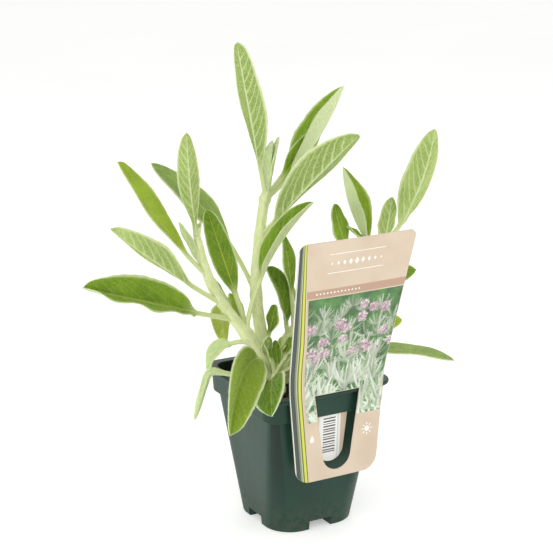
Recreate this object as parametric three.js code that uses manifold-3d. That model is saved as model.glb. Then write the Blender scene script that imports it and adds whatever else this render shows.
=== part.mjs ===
// Lambs ear, Stachys byzantina, three woolly stems and a low rosette in a square nursery pot with a
// hooked plant label. Millimetres, +Z up. The origin is the centre of the pot's underside, and the
// pot's sides are parallel to X and Y. The label hangs on the -Y side.
import * as THREE from "three";
import { mergeVertices } from "three/addons/utils/BufferGeometryUtils.js";
import Module from "manifold-3d";

const pot = {
  height: 95, wall: 1.2,
  base: { half: 29.7, corner: 17.9 }, // rounded square at the floor
  shoulder: { half: 38.6, corner: 9, z: 79.4 }, // where the band ends
  top: { half: 39.9, corner: 9.5 },
  flange: { half: 45, corner: 12, thickness: 2.5 },
  band: { bottomHalf: 41.9, topHalf: 42.6, corner: 12, thickness: 1.2 },
  notch: { width: 16, height: 6, reach: 16 }, // one in the middle of each side, between the feet
  slot: { halfLength: 14.5, outer: 41.2, inner: 40.0 }, // in the flange, for the label's tongue
  web: { thickness: 1.2, offset: 30, sunk: 0.5 }, // thin webs that tie the band to the wall
  floor: 1.6, // height of the floor's upper face
  drain: { radius: 2.6, ring: 9, sides: 12, sideLength: 9, sideWidth: 4 },
};
const cornerSteps = 5;
const sides = 4;
const gap = 0.35; // between pieces that touch
const past = 1; // how far a cutting solid runs past the face that it cuts

const soil = { floor: 2.2, edge: 81.5, crown: 84.5, bulge: 0.6, inner: [0.7, 0.35], holeGap: 0.5 };

const label = {
  centre: 1.3, thickness: 0.8, front: 46.8, rim: 95.5, // front is the card's outer face at the rim
  up: 104.8, down: 55, lean: 14.2, leanOver: 20, steps: 24,
  topHalf: 40.2, rimHalf: 33, bottomHalf: 28.3, topRound: 5, bottomRound: 9, bow: 0.5,
  window: { topHalf: 15.9, lowHalf: 8.6, bottom: -50, round: 8.6 },
  tongue: {
    topHalf: 12.8, lowHalf: 8.2, bottom: 48, round: 8, behind: 40.6, slope: 0.05,
    thickness: 0.56, sunk: 0.4, // in the card's back
    bend: 1.2, lift: 0.1, // where it turns down over the flange
  },
};

const plantTurn = -29.8; // the plant's own front is turned this far from the pot's -Y side
const stemSides = 8;
const leafSteps = { stalk: 2, blade: 9, smallBlade: 6, small: 30 };
const walkSteps = 40;
const stemSquareness = 0.1; // how far its corners stand out and its flats lie in, as a share
const leafEnds = { start: 0.02, end: 0.995, crowding: 1.15, opened: 0.22 }; // shares of the blade
const stalkTaper = 0.6; // lost towards the tip

// Heights above the ground plane of a leaf's cross-section at its edge, half-way and middle.
const bladeSection = { over: [0.4, 0.6, 0.25], under: [-0.4, -0.45, -1.1] };
const stalkSection = { over: [0.3, 1.1, 0.9], under: [-0.4, -1.2, -1.6], half: 1.7 };
const tipRib = 0.45; // share of the rib's depth left at the tip
const ripple = { waves: 2, height: 0.45, turn: 2.1 }; // of a blade's edges, turned on by leaf
// Of a blade's outline: broad below 1 puts its widest place nearer the stalk, and a smaller base or tip
// is fuller.
const ends = { broad: 0.9, base: 1.2, tip: 0.55 };
const scrap = 1; // cubic millimetres: fusing may leave a loose crumb or a small sealed hollow

// Each stem goes through its points, from inside the soil to its growing tip.
// A leaf: at is its place along the stem (0 to 1); heading and rise are in degrees where it leaves,
// heading 0 to the right, 90 away; bend lowers it and sway turns it by the tip; ease above 1 puts the
// bend nearer the tip, and drop puts all of it between two shares of the length; stalk, blade and width
// in millimetres; roll turns it about its own rib; fold lifts its two halves; wave is a stronger ripple
// of one side's edge.
const shoots = [
  {
    name: "shootLeft", color: 0xb9cf8c,
    stem: [[-13.5, -1, 70], [-14, -2, 86], [-20, -4, 103], [-29.5, -6, 119], [-41, -9, 135],
      [-51, -12, 152], [-57, -14, 170], [-61, -15, 188]],
    radius: [3.8, 2.2],
    leaves: [
      {
        at: 0.99, heading: 256, rise: 64, bend: -22, stalk: 3, blade: 66, width: 15, roll: 28, fold: 26,
        tip: 0.53, broad: 1.13, base: 1.16,
      },
      {
        at: 0.78, heading: 202, rise: 47, bend: -14, stalk: 18, blade: 76, width: 24.6, roll: -34,
        fold: 18, tip: 0.5, broad: 1.06, base: 1.06,
      },
      {
        at: 0.73, heading: 179, rise: 65, bend: 2, stalk: 14, blade: 31, width: 12.6, roll: 32, fold: 3,
        broad: 0.86,
      },
      {
        at: 0.63, heading: 211, sway: -10, rise: 34, bend: -8, stalk: 25, blade: 66, width: 23, roll: 46,
        fold: 38, tip: 0.65, broad: 1,
      },
      {
        at: 0.54, heading: 210, sway: -3, rise: 17, bend: -4, stalk: 27, blade: 78, width: 32.2,
        roll: -41, fold: 41, broad: 0.87, base: 0.81,
        wave: { side: 1, height: 2.2, count: 3.1, turn: 2.3 },
      },
      {
        at: 0.42, heading: 165, sway: -12, rise: 72, bend: 3, stalk: 30, blade: 55, width: 16.4,
        roll: -60, fold: 20, tip: 0.44, broad: 0.88, base: 0.92,
      },
      { at: 0.46, heading: 165, rise: 61, bend: 4, stalk: 14, blade: 25, width: 8, roll: 20, fold: 12 },
      { at: 0.43, heading: 150, rise: 62, bend: 0, stalk: 8, blade: 22, width: 11, roll: -10, fold: 14 },
      { at: 0.27, heading: 285, rise: 74, bend: 4, stalk: 5, blade: 16, width: 8, roll: 10, fold: 14 },
      {
        at: 0.48, heading: 102, sway: 20, rise: 67, bend: 190, stalk: 29, blade: 44, width: 19.5,
        roll: -15, fold: 8,
      },
      {
        at: 0.45, heading: 5, sway: -3, rise: 89, bend: 43, ease: 0.71, stalk: 37, blade: 58,
        width: 21.3, roll: 23, fold: 55, tip: 0.62, base: 0.97,
      },
      {
        at: 0.36, heading: 183, rise: 58, bend: 147, ease: 0.72, stalk: 18, blade: 25, width: 19.6,
        roll: -28, fold: 34, tip: 0.67, broad: 0.6, base: 1.1,
      },
      {
        at: 0.17, heading: 245, sway: 20, rise: 77, bend: 126, ease: 0.65, stalk: 33, blade: 81,
        width: 30.8, roll: -44, fold: 40, tip: 0.41, broad: 1.21, base: 0.86,
      },
      {
        at: 0.17, heading: 215, sway: -15, rise: 18, bend: 90, drop: [0.54, 0.66], stalk: 30, blade: 48,
        width: 6, roll: 85, fold: 16,
      },
    ],
  },
  {
    name: "shootCentre", color: 0xc4d69a,
    stem: [[-17, 9, 70], [-17, 9, 84], [-20, 7, 106], [-24, 5, 130], [-25.5, 6, 150], [-23.5, 7, 175],
      [-20.5, 8, 200], [-18, 8, 210]],
    radius: [4, 2.6],
    leaves: [
      {
        at: 0.93, heading: 230, sway: 20, rise: 76, bend: 9, stalk: 19, blade: 85, width: 20.7, roll: -8,
        fold: 23, tip: 0.47, broad: 0.86, base: 1.12,
      },
      {
        at: 0.9, heading: 40, sway: -12, rise: 28, bend: -39, stalk: 20, blade: 70, width: 31, roll: -12,
        fold: 55, tip: 0.73, broad: 0.98, base: 1.05,
      },
      {
        at: 0.99, heading: 10, rise: 77, bend: -2, stalk: 3, blade: 31, width: 12, roll: 0, fold: 16,
        tip: 0.6,
      },
      {
        at: 0.99, heading: 320, rise: 82, bend: -2, stalk: 3, blade: 29, width: 11, roll: 0, fold: 16,
        tip: 0.6,
      },
      {
        at: 0.74, heading: 340, sway: -18, rise: 49, bend: 5, stalk: 14, blade: 84, width: 32.7,
        roll: -26, fold: 29, tip: 0.57, broad: 1.06, base: 0.84,
      },
      {
        at: 0.52, heading: 157, rise: 67, bend: 39, stalk: 35, blade: 73, width: 31, roll: -3, fold: 5,
        tip: 0.68, base: 1.27,
      },
      {
        at: 0.3, heading: 339, rise: 69, bend: -13, stalk: 10, blade: 20, width: 11.9, roll: 60, fold: 2,
        tip: 0.49, broad: 1.01,
      },
      { at: 0.2, heading: 65, rise: 24, bend: 34, stalk: 18, blade: 44, width: 17, roll: 0, fold: 12 },
      { at: 0.9, heading: 42, rise: 42, bend: 4, stalk: 18, blade: 42, width: 14, roll: 60, fold: 16 },
      { at: 0.22, heading: 190, rise: 56, bend: 10, stalk: 4, blade: 15, width: 6.5, roll: 0, fold: 10 },
      { at: 0.21, heading: 328, rise: 50, bend: -6, stalk: 5, blade: 17, width: 8, roll: 20, fold: 12 },
      { at: 0.19, heading: 310, rise: 36, bend: 16, stalk: 5, blade: 16, width: 9, roll: -20, fold: 8 },
    ],
  },
  {
    name: "shootRight", color: 0xbfd394,
    stem: [[-8, 8, 70], [-8.5, 8, 85], [-7, 10, 100], [-4, 13, 114], [12, 16, 128], [30, 19, 142],
      [43, 22, 155], [51, 23, 165], [55, 24, 172]],
    radius: [3.6, 2.4],
    leaves: [
      {
        at: 0.9, heading: 325, rise: 48, bend: -35, stalk: 24, blade: 68, width: 25.4, roll: -40,
        fold: 39, broad: 0.88, base: 0.94,
      },
      {
        at: 0.875, heading: 155, rise: 45, bend: -42, stalk: 8, blade: 52, width: 27.6, roll: 1,
        fold: 55, tip: 0.76, broad: 0.93,
      },
      {
        at: 0.73, heading: 170, rise: 54, bend: -28, stalk: 18, blade: 30, width: 18.5, roll: -24,
        fold: 6, tip: 0.61,
      },
      {
        at: 0.99, heading: 336, rise: 80, bend: -2, stalk: 3, blade: 28, width: 14.1, roll: -32, fold: 7,
        tip: 0.49, broad: 0.78, base: 1.14,
      },
      { at: 0.87, heading: 166, rise: 46, bend: 10, stalk: 10, blade: 16, width: 7, roll: 0, fold: 20 },
      {
        at: 0.72, heading: 332, rise: 8, bend: -8, stalk: 12, blade: 27, width: 14.5, roll: 84, fold: 21,
        tip: 0.58,
      },
      {
        at: 0.45, heading: 348, rise: -8, bend: -26, stalk: 30, blade: 33, width: 14.8, roll: 54,
        fold: 10, broad: 0.93,
      },
      { at: 0.5, heading: 80, rise: 34, bend: 30, stalk: 16, blade: 60, width: 21, roll: 0, fold: 12 },
      {
        at: 0.35, heading: 174, rise: 86, bend: 25, stalk: 10, blade: 40, width: 23.9, roll: -24,
        fold: 32, broad: 0.98,
      },
      { at: 0.36, heading: 50, rise: 24, bend: 30, stalk: 18, blade: 54, width: 19, roll: 0, fold: 12 },
      {
        at: 0.4, heading: 149, rise: 88, bend: 10, stalk: 24, blade: 38, width: 15, roll: -1, fold: 10,
        tip: 0.58, broad: 1.03, base: 1.25,
      },
    ],
  },
  {
    name: "rosette", color: 0xa9c46a,
    stem: [[-10, -9, 70], [-10, -9, 84], [-12, -10, 92], [-14, -12, 98]],
    radius: [3.6, 2.6],
    leaves: [
      {
        at: 0.75, heading: 265, sway: 5, rise: 25, bend: 79, ease: 2.08, stalk: 35, blade: 36, width: 27,
        roll: 48, fold: 8, tip: 0.66, broad: 0.94, base: 1,
      },
      {
        at: 0.9, heading: 358, sway: -8, rise: 29, bend: 44, stalk: 52, blade: 62, width: 16, roll: 8,
        fold: 12,
      },
      { at: 0.6, heading: 12, rise: 50, bend: 26, stalk: 38, blade: 52, width: 20, roll: 0, fold: 12 },
    ],
  },
];

const wasm = await Module();
wasm.setup();

const radians = (degrees) => (degrees * Math.PI) / 180;

function toSolid(geometry) {
  const bare = geometry.clone();
  bare.deleteAttribute("normal");
  bare.deleteAttribute("uv");
  const merged = mergeVertices(bare, 1e-4);
  return new wasm.Manifold(new wasm.Mesh({
    numProp: 3,
    vertProperties: new Float32Array(merged.attributes.position.array),
    triVerts: new Uint32Array(merged.index.array),
  }));
}

function toGeometry(solid) {
  const mesh = solid.getMesh();
  const geometry = new THREE.BufferGeometry();
  geometry.setAttribute("position", new THREE.BufferAttribute(new Float32Array(mesh.vertProperties), 3));
  geometry.setIndex(new THREE.BufferAttribute(new Uint32Array(mesh.triVerts), 1));
  geometry.computeVertexNormals();
  return geometry;
}

const fuse = (solids) => solids.reduce((whole, solid) => whole.add(solid));

// Small hollows filled and loose crumbs dropped: a hollow counts as a body of negative volume.
const tidied = (solid) => fuse(solid.decompose().filter((body) => body.volume() > scrap));

// A closed body through rings of equal length. mirrored(j) says where a strip's diagonal is swapped,
// so that the two faces of a thin blade are split alike.
function loft(rings, mirrored = () => false) {
  const count = rings[0].length;
  const positions = rings.flat().flatMap((p) => [p.x, p.y, p.z]);
  const index = [];
  for (let i = 0; i + 1 < rings.length; i += 1) {
    for (let j = 0; j < count; j += 1) {
      const a = i * count + j;
      const b = i * count + ((j + 1) % count);
      const c = a + count;
      const d = b + count;
      index.push(...(mirrored(j) ? [a, b, c, b, d, c] : [a, b, d, a, d, c]));
    }
  }
  for (let j = 1; j + 1 < count; j += 1) {
    const last = (rings.length - 1) * count;
    index.push(0, j + 1, j, last, last + j, last + j + 1);
  }
  const geometry = new THREE.BufferGeometry();
  geometry.setAttribute("position", new THREE.BufferAttribute(new Float32Array(positions), 3));
  geometry.setIndex(index);
  return geometry;
}

function roundedSquare(half, corner, z) {
  const ring = [];
  for (let side = 0; side < sides; side += 1) {
    const middle = radians(45 + 90 * side);
    const centre = new THREE.Vector3(Math.sign(Math.cos(middle)), Math.sign(Math.sin(middle)), 0)
      .multiplyScalar(half - corner);
    for (let step = 0; step <= cornerSteps; step += 1) {
      const angle = radians(90 * side + (90 * step) / cornerSteps);
      const reach = new THREE.Vector3(Math.cos(angle), Math.sin(angle), 0).multiplyScalar(corner);
      ring.push(centre.clone().add(reach).setZ(z));
    }
  }
  return ring;
}

const squareLoft = (rows) => toSolid(loft(rows.map(([half, corner, z]) => roundedSquare(half, corner, z))));

function block(xs, ys, zs) {
  const geometry = new THREE.BoxGeometry(xs[1] - xs[0], ys[1] - ys[0], zs[1] - zs[0]);
  geometry.translate((xs[0] + xs[1]) / 2, (ys[0] + ys[1]) / 2, (zs[0] + zs[1]) / 2);
  return toSolid(geometry);
}

const turned = (solid, side) => solid.rotate([0, 0, 90 * side]);
const onEachSide = (solid) => fuse([0, 1, 2, 3].map((side) => turned(solid, side)));

// The pot's half width and corner radius at a height, from the floor to the flange.
function wallAt(z, inset) {
  const { base, shoulder, top, height } = pot;
  const low = z <= shoulder.z;
  const share = low ? z / shoulder.z : (z - shoulder.z) / (height - shoulder.z);
  const from = low ? base : shoulder;
  const to = low ? shoulder : top;
  return [
    from.half + (to.half - from.half) * share - inset,
    Math.max(from.corner + (to.corner - from.corner) * share - inset, 1),
    z,
  ];
}

// The four notches between the feet, grown by a margin to give the floor its thickness over them.
function notches(margin) {
  const { width, height, reach } = pot.notch;
  const side = width / 2 + margin;
  const inner = -(pot.base.half - reach) + margin;
  return onEachSide(block([-side, side], [-pot.shoulder.half, inner], [-past, height + margin]));
}

function makePot() {
  const { height, wall, shoulder, flange, band, notch, slot, web, drain } = pot;
  const under = height - flange.thickness;
  const shell = squareLoft([wallAt(0, 0), wallAt(shoulder.z, 0), wallAt(under + past, 0)]);
  const lip = squareLoft([[flange.half, flange.corner, under], [flange.half, flange.corner, height]]);
  const bandOuter = squareLoft([
    [band.bottomHalf, band.corner, shoulder.z],
    [band.topHalf, band.corner, under + web.sunk],
  ]);
  const bandInner = squareLoft([
    [band.bottomHalf - band.thickness, band.corner - band.thickness, shoulder.z - past],
    [band.topHalf - band.thickness, band.corner - band.thickness, under + past],
  ]);
  const webs = fuse([-1, 1].map((end) => block(
    [end * web.offset - web.thickness / 2, end * web.offset + web.thickness / 2],
    [-band.bottomHalf + web.sunk, -shoulder.half + web.sunk],
    [shoulder.z + past, under + web.sunk],
  )));
  const cavity = squareLoft([
    wallAt(pot.floor, wall), wallAt(shoulder.z, wall), wallAt(height + past, wall),
  ]).subtract(notches(wall));
  const tongueSlot = block([-slot.halfLength + label.centre, slot.halfLength + label.centre],
    [-slot.outer, -slot.inner], [under - past, height + past]);
  const roundDrain = new THREE.CylinderGeometry(drain.radius, drain.radius, 2 * notch.height, drain.sides);
  roundDrain.rotateX(Math.PI / 2);
  roundDrain.translate(drain.ring, drain.ring, pot.floor);
  const roof = pot.base.half - notch.reach / 2; // middle of a notch's flat roof
  const sideDrain = block([-drain.sideLength / 2, drain.sideLength / 2],
    [-roof - drain.sideWidth / 2, -roof + drain.sideWidth / 2], [-past, notch.height + 2 * wall + past]);
  return fuse([shell, lip, bandOuter.subtract(bandInner), onEachSide(webs)])
    .subtract(cavity)
    .subtract(notches(0))
    .subtract(onEachSide(toSolid(roundDrain)))
    .subtract(onEachSide(sideDrain))
    .subtract(tongueSlot);
}

function stemCurve(shoot) {
  return new THREE.CatmullRomCurve3(shoot.stem.map(([x, y, z]) => new THREE.Vector3(x, y, z)));
}

// The stem is square with rounded corners, so its radius is larger at each second side.
function stemRings(shoot, extra) {
  const curve = stemCurve(shoot);
  const steps = 2 * shoot.stem.length;
  const rings = [];
  for (let i = 0; i <= steps; i += 1) {
    const share = i / steps;
    const point = curve.getPoint(share);
    const along = curve.getTangent(share);
    const side = new THREE.Vector3(0, 1, 0).cross(along).normalize();
    const out = along.clone().cross(side);
    const radius = shoot.radius[0] + (shoot.radius[1] - shoot.radius[0]) * share + extra;
    rings.push(Array.from({ length: stemSides }, (_, j) => {
      const angle = radians((360 * j) / stemSides);
      const reach = radius * (1 + (j % 2 ? -stemSquareness : stemSquareness));
      return point.clone()
        .addScaledVector(side, reach * Math.cos(angle))
        .addScaledVector(out, reach * Math.sin(angle));
    }));
  }
  return rings;
}

// The direction and frame of a leaf at a share of its length.
function leafFrame(leaf, share) {
  const eased = leaf.drop ? THREE.MathUtils.smoothstep(share, ...leaf.drop) : share ** (leaf.ease ?? 1);
  const heading = radians(leaf.heading + (leaf.sway ?? 0) * share);
  const rise = radians(leaf.rise - leaf.bend * eased);
  const roll = radians(leaf.roll);
  const ahead = new THREE.Vector3(Math.cos(heading), Math.sin(heading), 0);
  const along = ahead.multiplyScalar(Math.cos(rise)).setZ(Math.sin(rise));
  const level = new THREE.Vector3(-Math.sin(heading), Math.cos(heading), 0);
  const upright = along.clone().cross(level);
  const side = level.clone().multiplyScalar(Math.cos(roll)).addScaledVector(upright, Math.sin(roll));
  return { along, side, up: along.clone().cross(side) };
}

// Half the blade's width, as a share of its widest: drawn out at the stalk, blunt at the tip.
function outline(leaf, share) {
  const place = share ** (leaf.broad ?? ends.broad);
  return Math.sin(Math.PI * place) ** (place < 0.5 ? leaf.base ?? ends.base : leaf.tip ?? ends.tip);
}

function leafStations(leaf) {
  const total = leaf.stalk + leaf.blade;
  const bladeSteps = leaf.blade < leafSteps.small ? leafSteps.smallBlade : leafSteps.blade;
  const stations = [];
  for (let i = 0; i < leafSteps.stalk; i += 1) {
    stations.push({ share: (leaf.stalk * i) / leafSteps.stalk / total, blade: 0 });
  }
  for (let i = 0; i <= bladeSteps; i += 1) {
    const swept = Math.sin((Math.PI / 2) * (i / bladeSteps)) ** leafEnds.crowding; // crowds at the tip
    const blade = THREE.MathUtils.lerp(leafEnds.start, leafEnds.end, swept);
    stations.push({ share: (leaf.stalk + leaf.blade * blade) / total, blade });
  }
  return stations;
}

function leafPoint(leaf, root, share) {
  const point = root.clone();
  const total = leaf.stalk + leaf.blade;
  for (let i = 0; i < walkSteps; i += 1) {
    const { along } = leafFrame(leaf, (share * (i + 0.5)) / walkSteps);
    point.addScaledVector(along, (total * share) / walkSteps);
  }
  return point;
}

// How far an edge of the blade is lifted: each leaf's ripple differs by its number.
function edgeWave(leaf, number, place, blade) {
  if (Math.abs(place) < 1) return 0;
  const common = { height: ripple.height, count: ripple.waves, turn: ripple.turn * (number + place) };
  const wave = leaf.wave?.side === place ? leaf.wave : common;
  return wave.height * Math.sin(2 * Math.PI * wave.count * blade + wave.turn);
}

function leafGeometry(leaf, root, number) {
  const places = [-1, -0.5, 0, 0.5, 1];
  const level = (rows, place) => rows[Math.round(2 * (1 - Math.abs(place)))];
  const rings = leafStations(leaf).map(({ share, blade }) => {
    const { side, up } = leafFrame(leaf, share);
    const point = leafPoint(leaf, root, share);
    const half = Math.max((leaf.width / 2) * (blade > 0 ? outline(leaf, blade) : 0),
      stalkSection.half * (1 - stalkTaper * blade));
    const flat = THREE.MathUtils.smoothstep(blade, 0, leafEnds.opened);
    const fold = radians(leaf.fold) * flat;
    const rib = 1 - (1 - tipRib) * blade;
    const rippled = (place) => flat * edgeWave(leaf, number, place, blade);
    const at = (place, over) => {
      const key = over ? "over" : "under";
      const thick = level(stalkSection[key], place) * (1 - flat)
        + level(bladeSection[key], place) * rib * flat;
      return point.clone()
        .addScaledVector(side, place * half * Math.cos(fold))
        .addScaledVector(up, Math.abs(place) * half * Math.sin(fold) + thick + rippled(place));
    };
    const back = places.slice().reverse();
    return [...places.map((place) => at(place, true)), ...back.map((place) => at(place, false))];
  });
  rings.forEach((ring) => ring.reverse());
  return loft(rings, (j) => j > places.length - 1);
}

function makeShoot(shoot) {
  const curve = stemCurve(shoot);
  const leaves = shoot.leaves.map((leaf, number) => (
    toSolid(leafGeometry(leaf, curve.getPoint(leaf.at), number))
  ));
  return tidied(fuse([toSolid(loft(stemRings(shoot, 0))), ...leaves]));
}

function makeSoil() {
  const { wall } = pot;
  const [half, corner] = wallAt(soil.edge, wall + gap);
  const body = squareLoft([
    wallAt(soil.floor, wall + gap), wallAt(soil.edge, wall + gap),
    [half * soil.inner[0], corner * soil.inner[0], (soil.edge + soil.crown) / 2 + soil.bulge],
    [half * soil.inner[1], corner * soil.inner[1], soil.crown],
  ]);
  const turn = new THREE.Matrix4().makeRotationZ(radians(plantTurn));
  const holes = shoots.map((shoot) => {
    const geometry = loft(stemRings(shoot, soil.holeGap));
    geometry.applyMatrix4(turn);
    return toSolid(geometry);
  });
  return body.subtract(notches(wall + gap)).subtract(fuse(holes));
}

// A place on the card: up is measured along the card from the rim's level, out is 0 on its back face.
function cardPoint(across, up, out) {
  let y = -(label.front - label.thickness);
  let z = label.rim;
  let angle = 0;
  for (let i = 0; i < label.steps; i += 1) {
    const length = up / label.steps;
    angle = radians(label.lean) * THREE.MathUtils.clamp((length * (i + 0.5)) / label.leanOver, 0, 1);
    y -= Math.sin(angle) * length;
    z += Math.cos(angle) * length;
  }
  const bow = (label.bow * across * across) / (label.rimHalf * label.rimHalf);
  y += bow - out * Math.cos(angle);
  z -= out * Math.sin(angle);
  return new THREE.Vector3(label.centre + across, y, z);
}

// How far a rounded corner pulls an edge in, near an end.
function rounded(half, fromEnd, round) {
  if (fromEnd >= round) return half;
  const lack = round - Math.max(fromEnd, 0);
  return half - round + Math.sqrt(Math.max(round * round - lack * lack, 0));
}

function cardHalf(up) {
  if (up >= 0) {
    const half = label.rimHalf + ((label.topHalf - label.rimHalf) * up) / label.up;
    return rounded(half, label.up - up, label.topRound);
  }
  const half = label.rimHalf + ((label.bottomHalf - label.rimHalf) * -up) / label.down;
  return rounded(half, up + label.down, label.bottomRound);
}

function windowHalf(up) {
  const { topHalf, lowHalf, bottom, round } = label.window;
  return rounded(topHalf + ((lowHalf - topHalf) * up) / bottom, up - bottom, round);
}

// A thin strip between two edges, given as rows of [height, left, right], bent with the card.
function cardStrip(rows, columns) {
  const rings = rows.map(([up, left, right]) => {
    const across = Array.from({ length: columns + 1 }, (_, i) => left + ((right - left) * i) / columns);
    return [
      ...across.map((place) => cardPoint(place, up, label.thickness)),
      ...across.slice().reverse().map((place) => cardPoint(place, up, 0)),
    ];
  });
  return toSolid(loft(rings, (j) => j > columns));
}

const nearly = 0.995; // keeps a rounded end from closing to a point
const levels = (from, to, count) => (
  Array.from({ length: count + 1 }, (_, i) => from + ((to - from) * i) / count)
);

// Levels that crowd towards a rounded end.
function crowded(from, to, round, count) {
  const sign = Math.sign(to - from);
  const straight = to - sign * round;
  const curve = levels(0, 90, 4).map((angle) => straight + sign * round * Math.sin(radians(angle)) * nearly);
  return [...levels(from, straight, count).slice(0, -1), ...curve];
}

function makeCard() {
  const { window: opening } = label;
  const upper = crowded(0, label.up, label.topRound, 6).map((up) => [up, -cardHalf(up), cardHalf(up)]);
  const beside = crowded(0, opening.bottom, opening.round, 4);
  const right = beside.map((up) => [up, windowHalf(up), cardHalf(up)]).reverse();
  const left = beside.map((up) => [up, -cardHalf(up), -windowHalf(up)]).reverse();
  const sill = beside[beside.length - 1];
  const lower = crowded(sill, -label.down, (label.down + sill) * nearly, 1)
    .map((up) => [up, -cardHalf(up), cardHalf(up)]).reverse();
  return fuse([cardStrip(upper, 4), cardStrip(left, 2), cardStrip(right, 2), cardStrip(lower, 4)]);
}

// The tongue leaves the card just over the flange, crosses it, and goes down behind the band.
function makeTongue() {
  const { tongue } = label;
  const back = label.front - label.thickness;
  const over = pot.height + gap;
  const crossing = over + tongue.sunk;
  const hanging = (z) => [-tongue.behind + tongue.slope * (pot.height - z), z];
  const path = [
    [-back - tongue.sunk, crossing], [-back + tongue.bend, crossing],
    [-tongue.behind - tongue.bend, crossing], [-tongue.behind - tongue.bend / 4, over + tongue.lift],
    hanging(pot.height - gap), hanging(pot.shoulder.z),
    ...crowded(pot.shoulder.z - tongue.round, tongue.bottom, tongue.round, 1).map(hanging),
  ];
  const rings = path.map(([y, z], i) => {
    const before = path[Math.max(i - 1, 0)];
    const after = path[Math.min(i + 1, path.length - 1)];
    const along = new THREE.Vector2(after[0] - before[0], after[1] - before[1]).normalize();
    const fall = THREE.MathUtils.clamp((pot.height - z) / (pot.height - tongue.bottom), 0, 1);
    const full = tongue.topHalf + (tongue.lowHalf - tongue.topHalf) * fall;
    const half = rounded(full, z - tongue.bottom, tongue.round);
    const across = (side) => label.centre + side * half;
    const at = (side, off) => new THREE.Vector3(across(side), y - along.y * off, z + along.x * off);
    const off = tongue.thickness / 2;
    return [at(-1, off), at(1, off), at(1, -off), at(-1, -off)];
  });
  return toSolid(loft(rings));
}

const makeLabel = () => makeCard().add(makeTongue());

const finishes = {
  pot: { color: 0x2f4a40, roughness: 0.45, metalness: 0 },
  soil: { color: 0x2b2019, roughness: 0.95, metalness: 0 },
  label: { color: 0xdfcbb2, roughness: 0.4, metalness: 0 },
};

function mesh(name, solid, finish) {
  const piece = new THREE.Mesh(toGeometry(solid), new THREE.MeshStandardMaterial(finish));
  piece.name = name;
  return piece;
}

const assembly = new THREE.Group();
assembly.add(mesh("pot", makePot(), finishes.pot));
assembly.add(mesh("soil", makeSoil(), finishes.soil));
assembly.add(mesh("label", makeLabel(), finishes.label));

const plant = new THREE.Group();
plant.rotation.z = radians(plantTurn);
shoots.forEach((shoot) => {
  plant.add(mesh(shoot.name, makeShoot(shoot), { color: shoot.color, roughness: 0.8, metalness: 0 }));
});
assembly.add(plant);

export default assembly;
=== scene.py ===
import math

import bpy
import numpy as np
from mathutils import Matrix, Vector, noise


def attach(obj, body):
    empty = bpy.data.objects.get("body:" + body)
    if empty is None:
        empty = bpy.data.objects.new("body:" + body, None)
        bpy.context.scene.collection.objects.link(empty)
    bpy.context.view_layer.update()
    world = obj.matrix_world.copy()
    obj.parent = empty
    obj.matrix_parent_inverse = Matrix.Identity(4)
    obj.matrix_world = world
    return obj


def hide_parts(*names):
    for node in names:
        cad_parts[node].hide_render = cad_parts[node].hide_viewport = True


# A potted lambs ear: square pot, compost, printed label, three woolly shoots and a few low leaves.
# Sizes are in millimetres and become metres when a mesh is made. The plant's own axes are turned
# from the pot's by plantTurn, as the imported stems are.

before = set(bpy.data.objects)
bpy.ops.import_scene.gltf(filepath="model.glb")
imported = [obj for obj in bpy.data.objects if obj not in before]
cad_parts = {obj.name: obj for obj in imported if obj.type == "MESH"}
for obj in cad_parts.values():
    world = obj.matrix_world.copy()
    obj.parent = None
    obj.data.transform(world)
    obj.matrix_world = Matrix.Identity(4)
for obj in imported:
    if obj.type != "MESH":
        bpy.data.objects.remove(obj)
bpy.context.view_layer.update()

mm = 0.001
plantTurn = -29.8
random = np.random.default_rng(41)
noise.seed_set(41)  # its vector noise would start from the clock otherwise


def radians(degrees):
    return degrees * math.pi / 180


def colour(hexText):  # a screen colour as the linear one that a shader wants
    parts = [int(hexText[i:i + 2], 16) / 255 for i in (0, 2, 4)]
    return [p / 12.92 if p <= 0.04045 else ((p + 0.055) / 1.055) ** 2.4 for p in parts] + [1.0]


def turnedPlant(points):  # from the plant's axes to the pot's
    c, s = math.cos(radians(plantTurn)), math.sin(radians(plantTurn))
    points = np.asarray(points, float)
    out = points.copy()
    out[..., 0] = points[..., 0] * c - points[..., 1] * s
    out[..., 1] = points[..., 0] * s + points[..., 1] * c
    return out


def smoothStep(x, low, high):
    t = np.clip((np.asarray(x, float) - low) / (high - low), 0, 1)
    return t * t * (3 - 2 * t)


def addNode(tree, kind, **settings):
    node = tree.nodes.new(kind)
    for key, value in settings.items():
        setattr(node, key, value)
    return node


def plug(tree, value, socket):  # a socket is linked, a number or colour is set
    if isinstance(value, bpy.types.NodeSocket):
        tree.links.new(value, socket)
    else:
        socket.default_value = value


def plugAll(tree, sockets, values):
    for key, value in values.items():
        plug(tree, value, sockets[key])


def calc(tree, operation, *values):
    node = addNode(tree, "ShaderNodeMath", operation=operation)
    for socket, value in zip(node.inputs, values):
        plug(tree, value, socket)
    return node.outputs[0]


def times(tree, first, second):
    return calc(tree, "MULTIPLY", first, second)


def oneMinus(tree, value):
    return calc(tree, "SUBTRACT", 1.0, value)


def between(tree, value, low, high):  # 1 inside the range
    return times(tree, calc(tree, "GREATER_THAN", value, low), calc(tree, "LESS_THAN", value, high))


def ramp(tree, value, low, high, outLow=0.0, outHigh=1.0):  # a smooth step between two values
    node = addNode(tree, "ShaderNodeMapRange", interpolation_type="SMOOTHSTEP")
    plugAll(tree, node.inputs, {"Value": value, "From Min": low, "From Max": high,
                                "To Min": outLow, "To Max": outHigh})
    return node.outputs["Result"]


def blendColours(tree, factor, first, second):
    node = addNode(tree, "ShaderNodeMix", data_type="RGBA")
    plugAll(tree, node.inputs, {0: factor, 6: first, 7: second})  # the places of its colour sockets
    return node.outputs[2]


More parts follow.
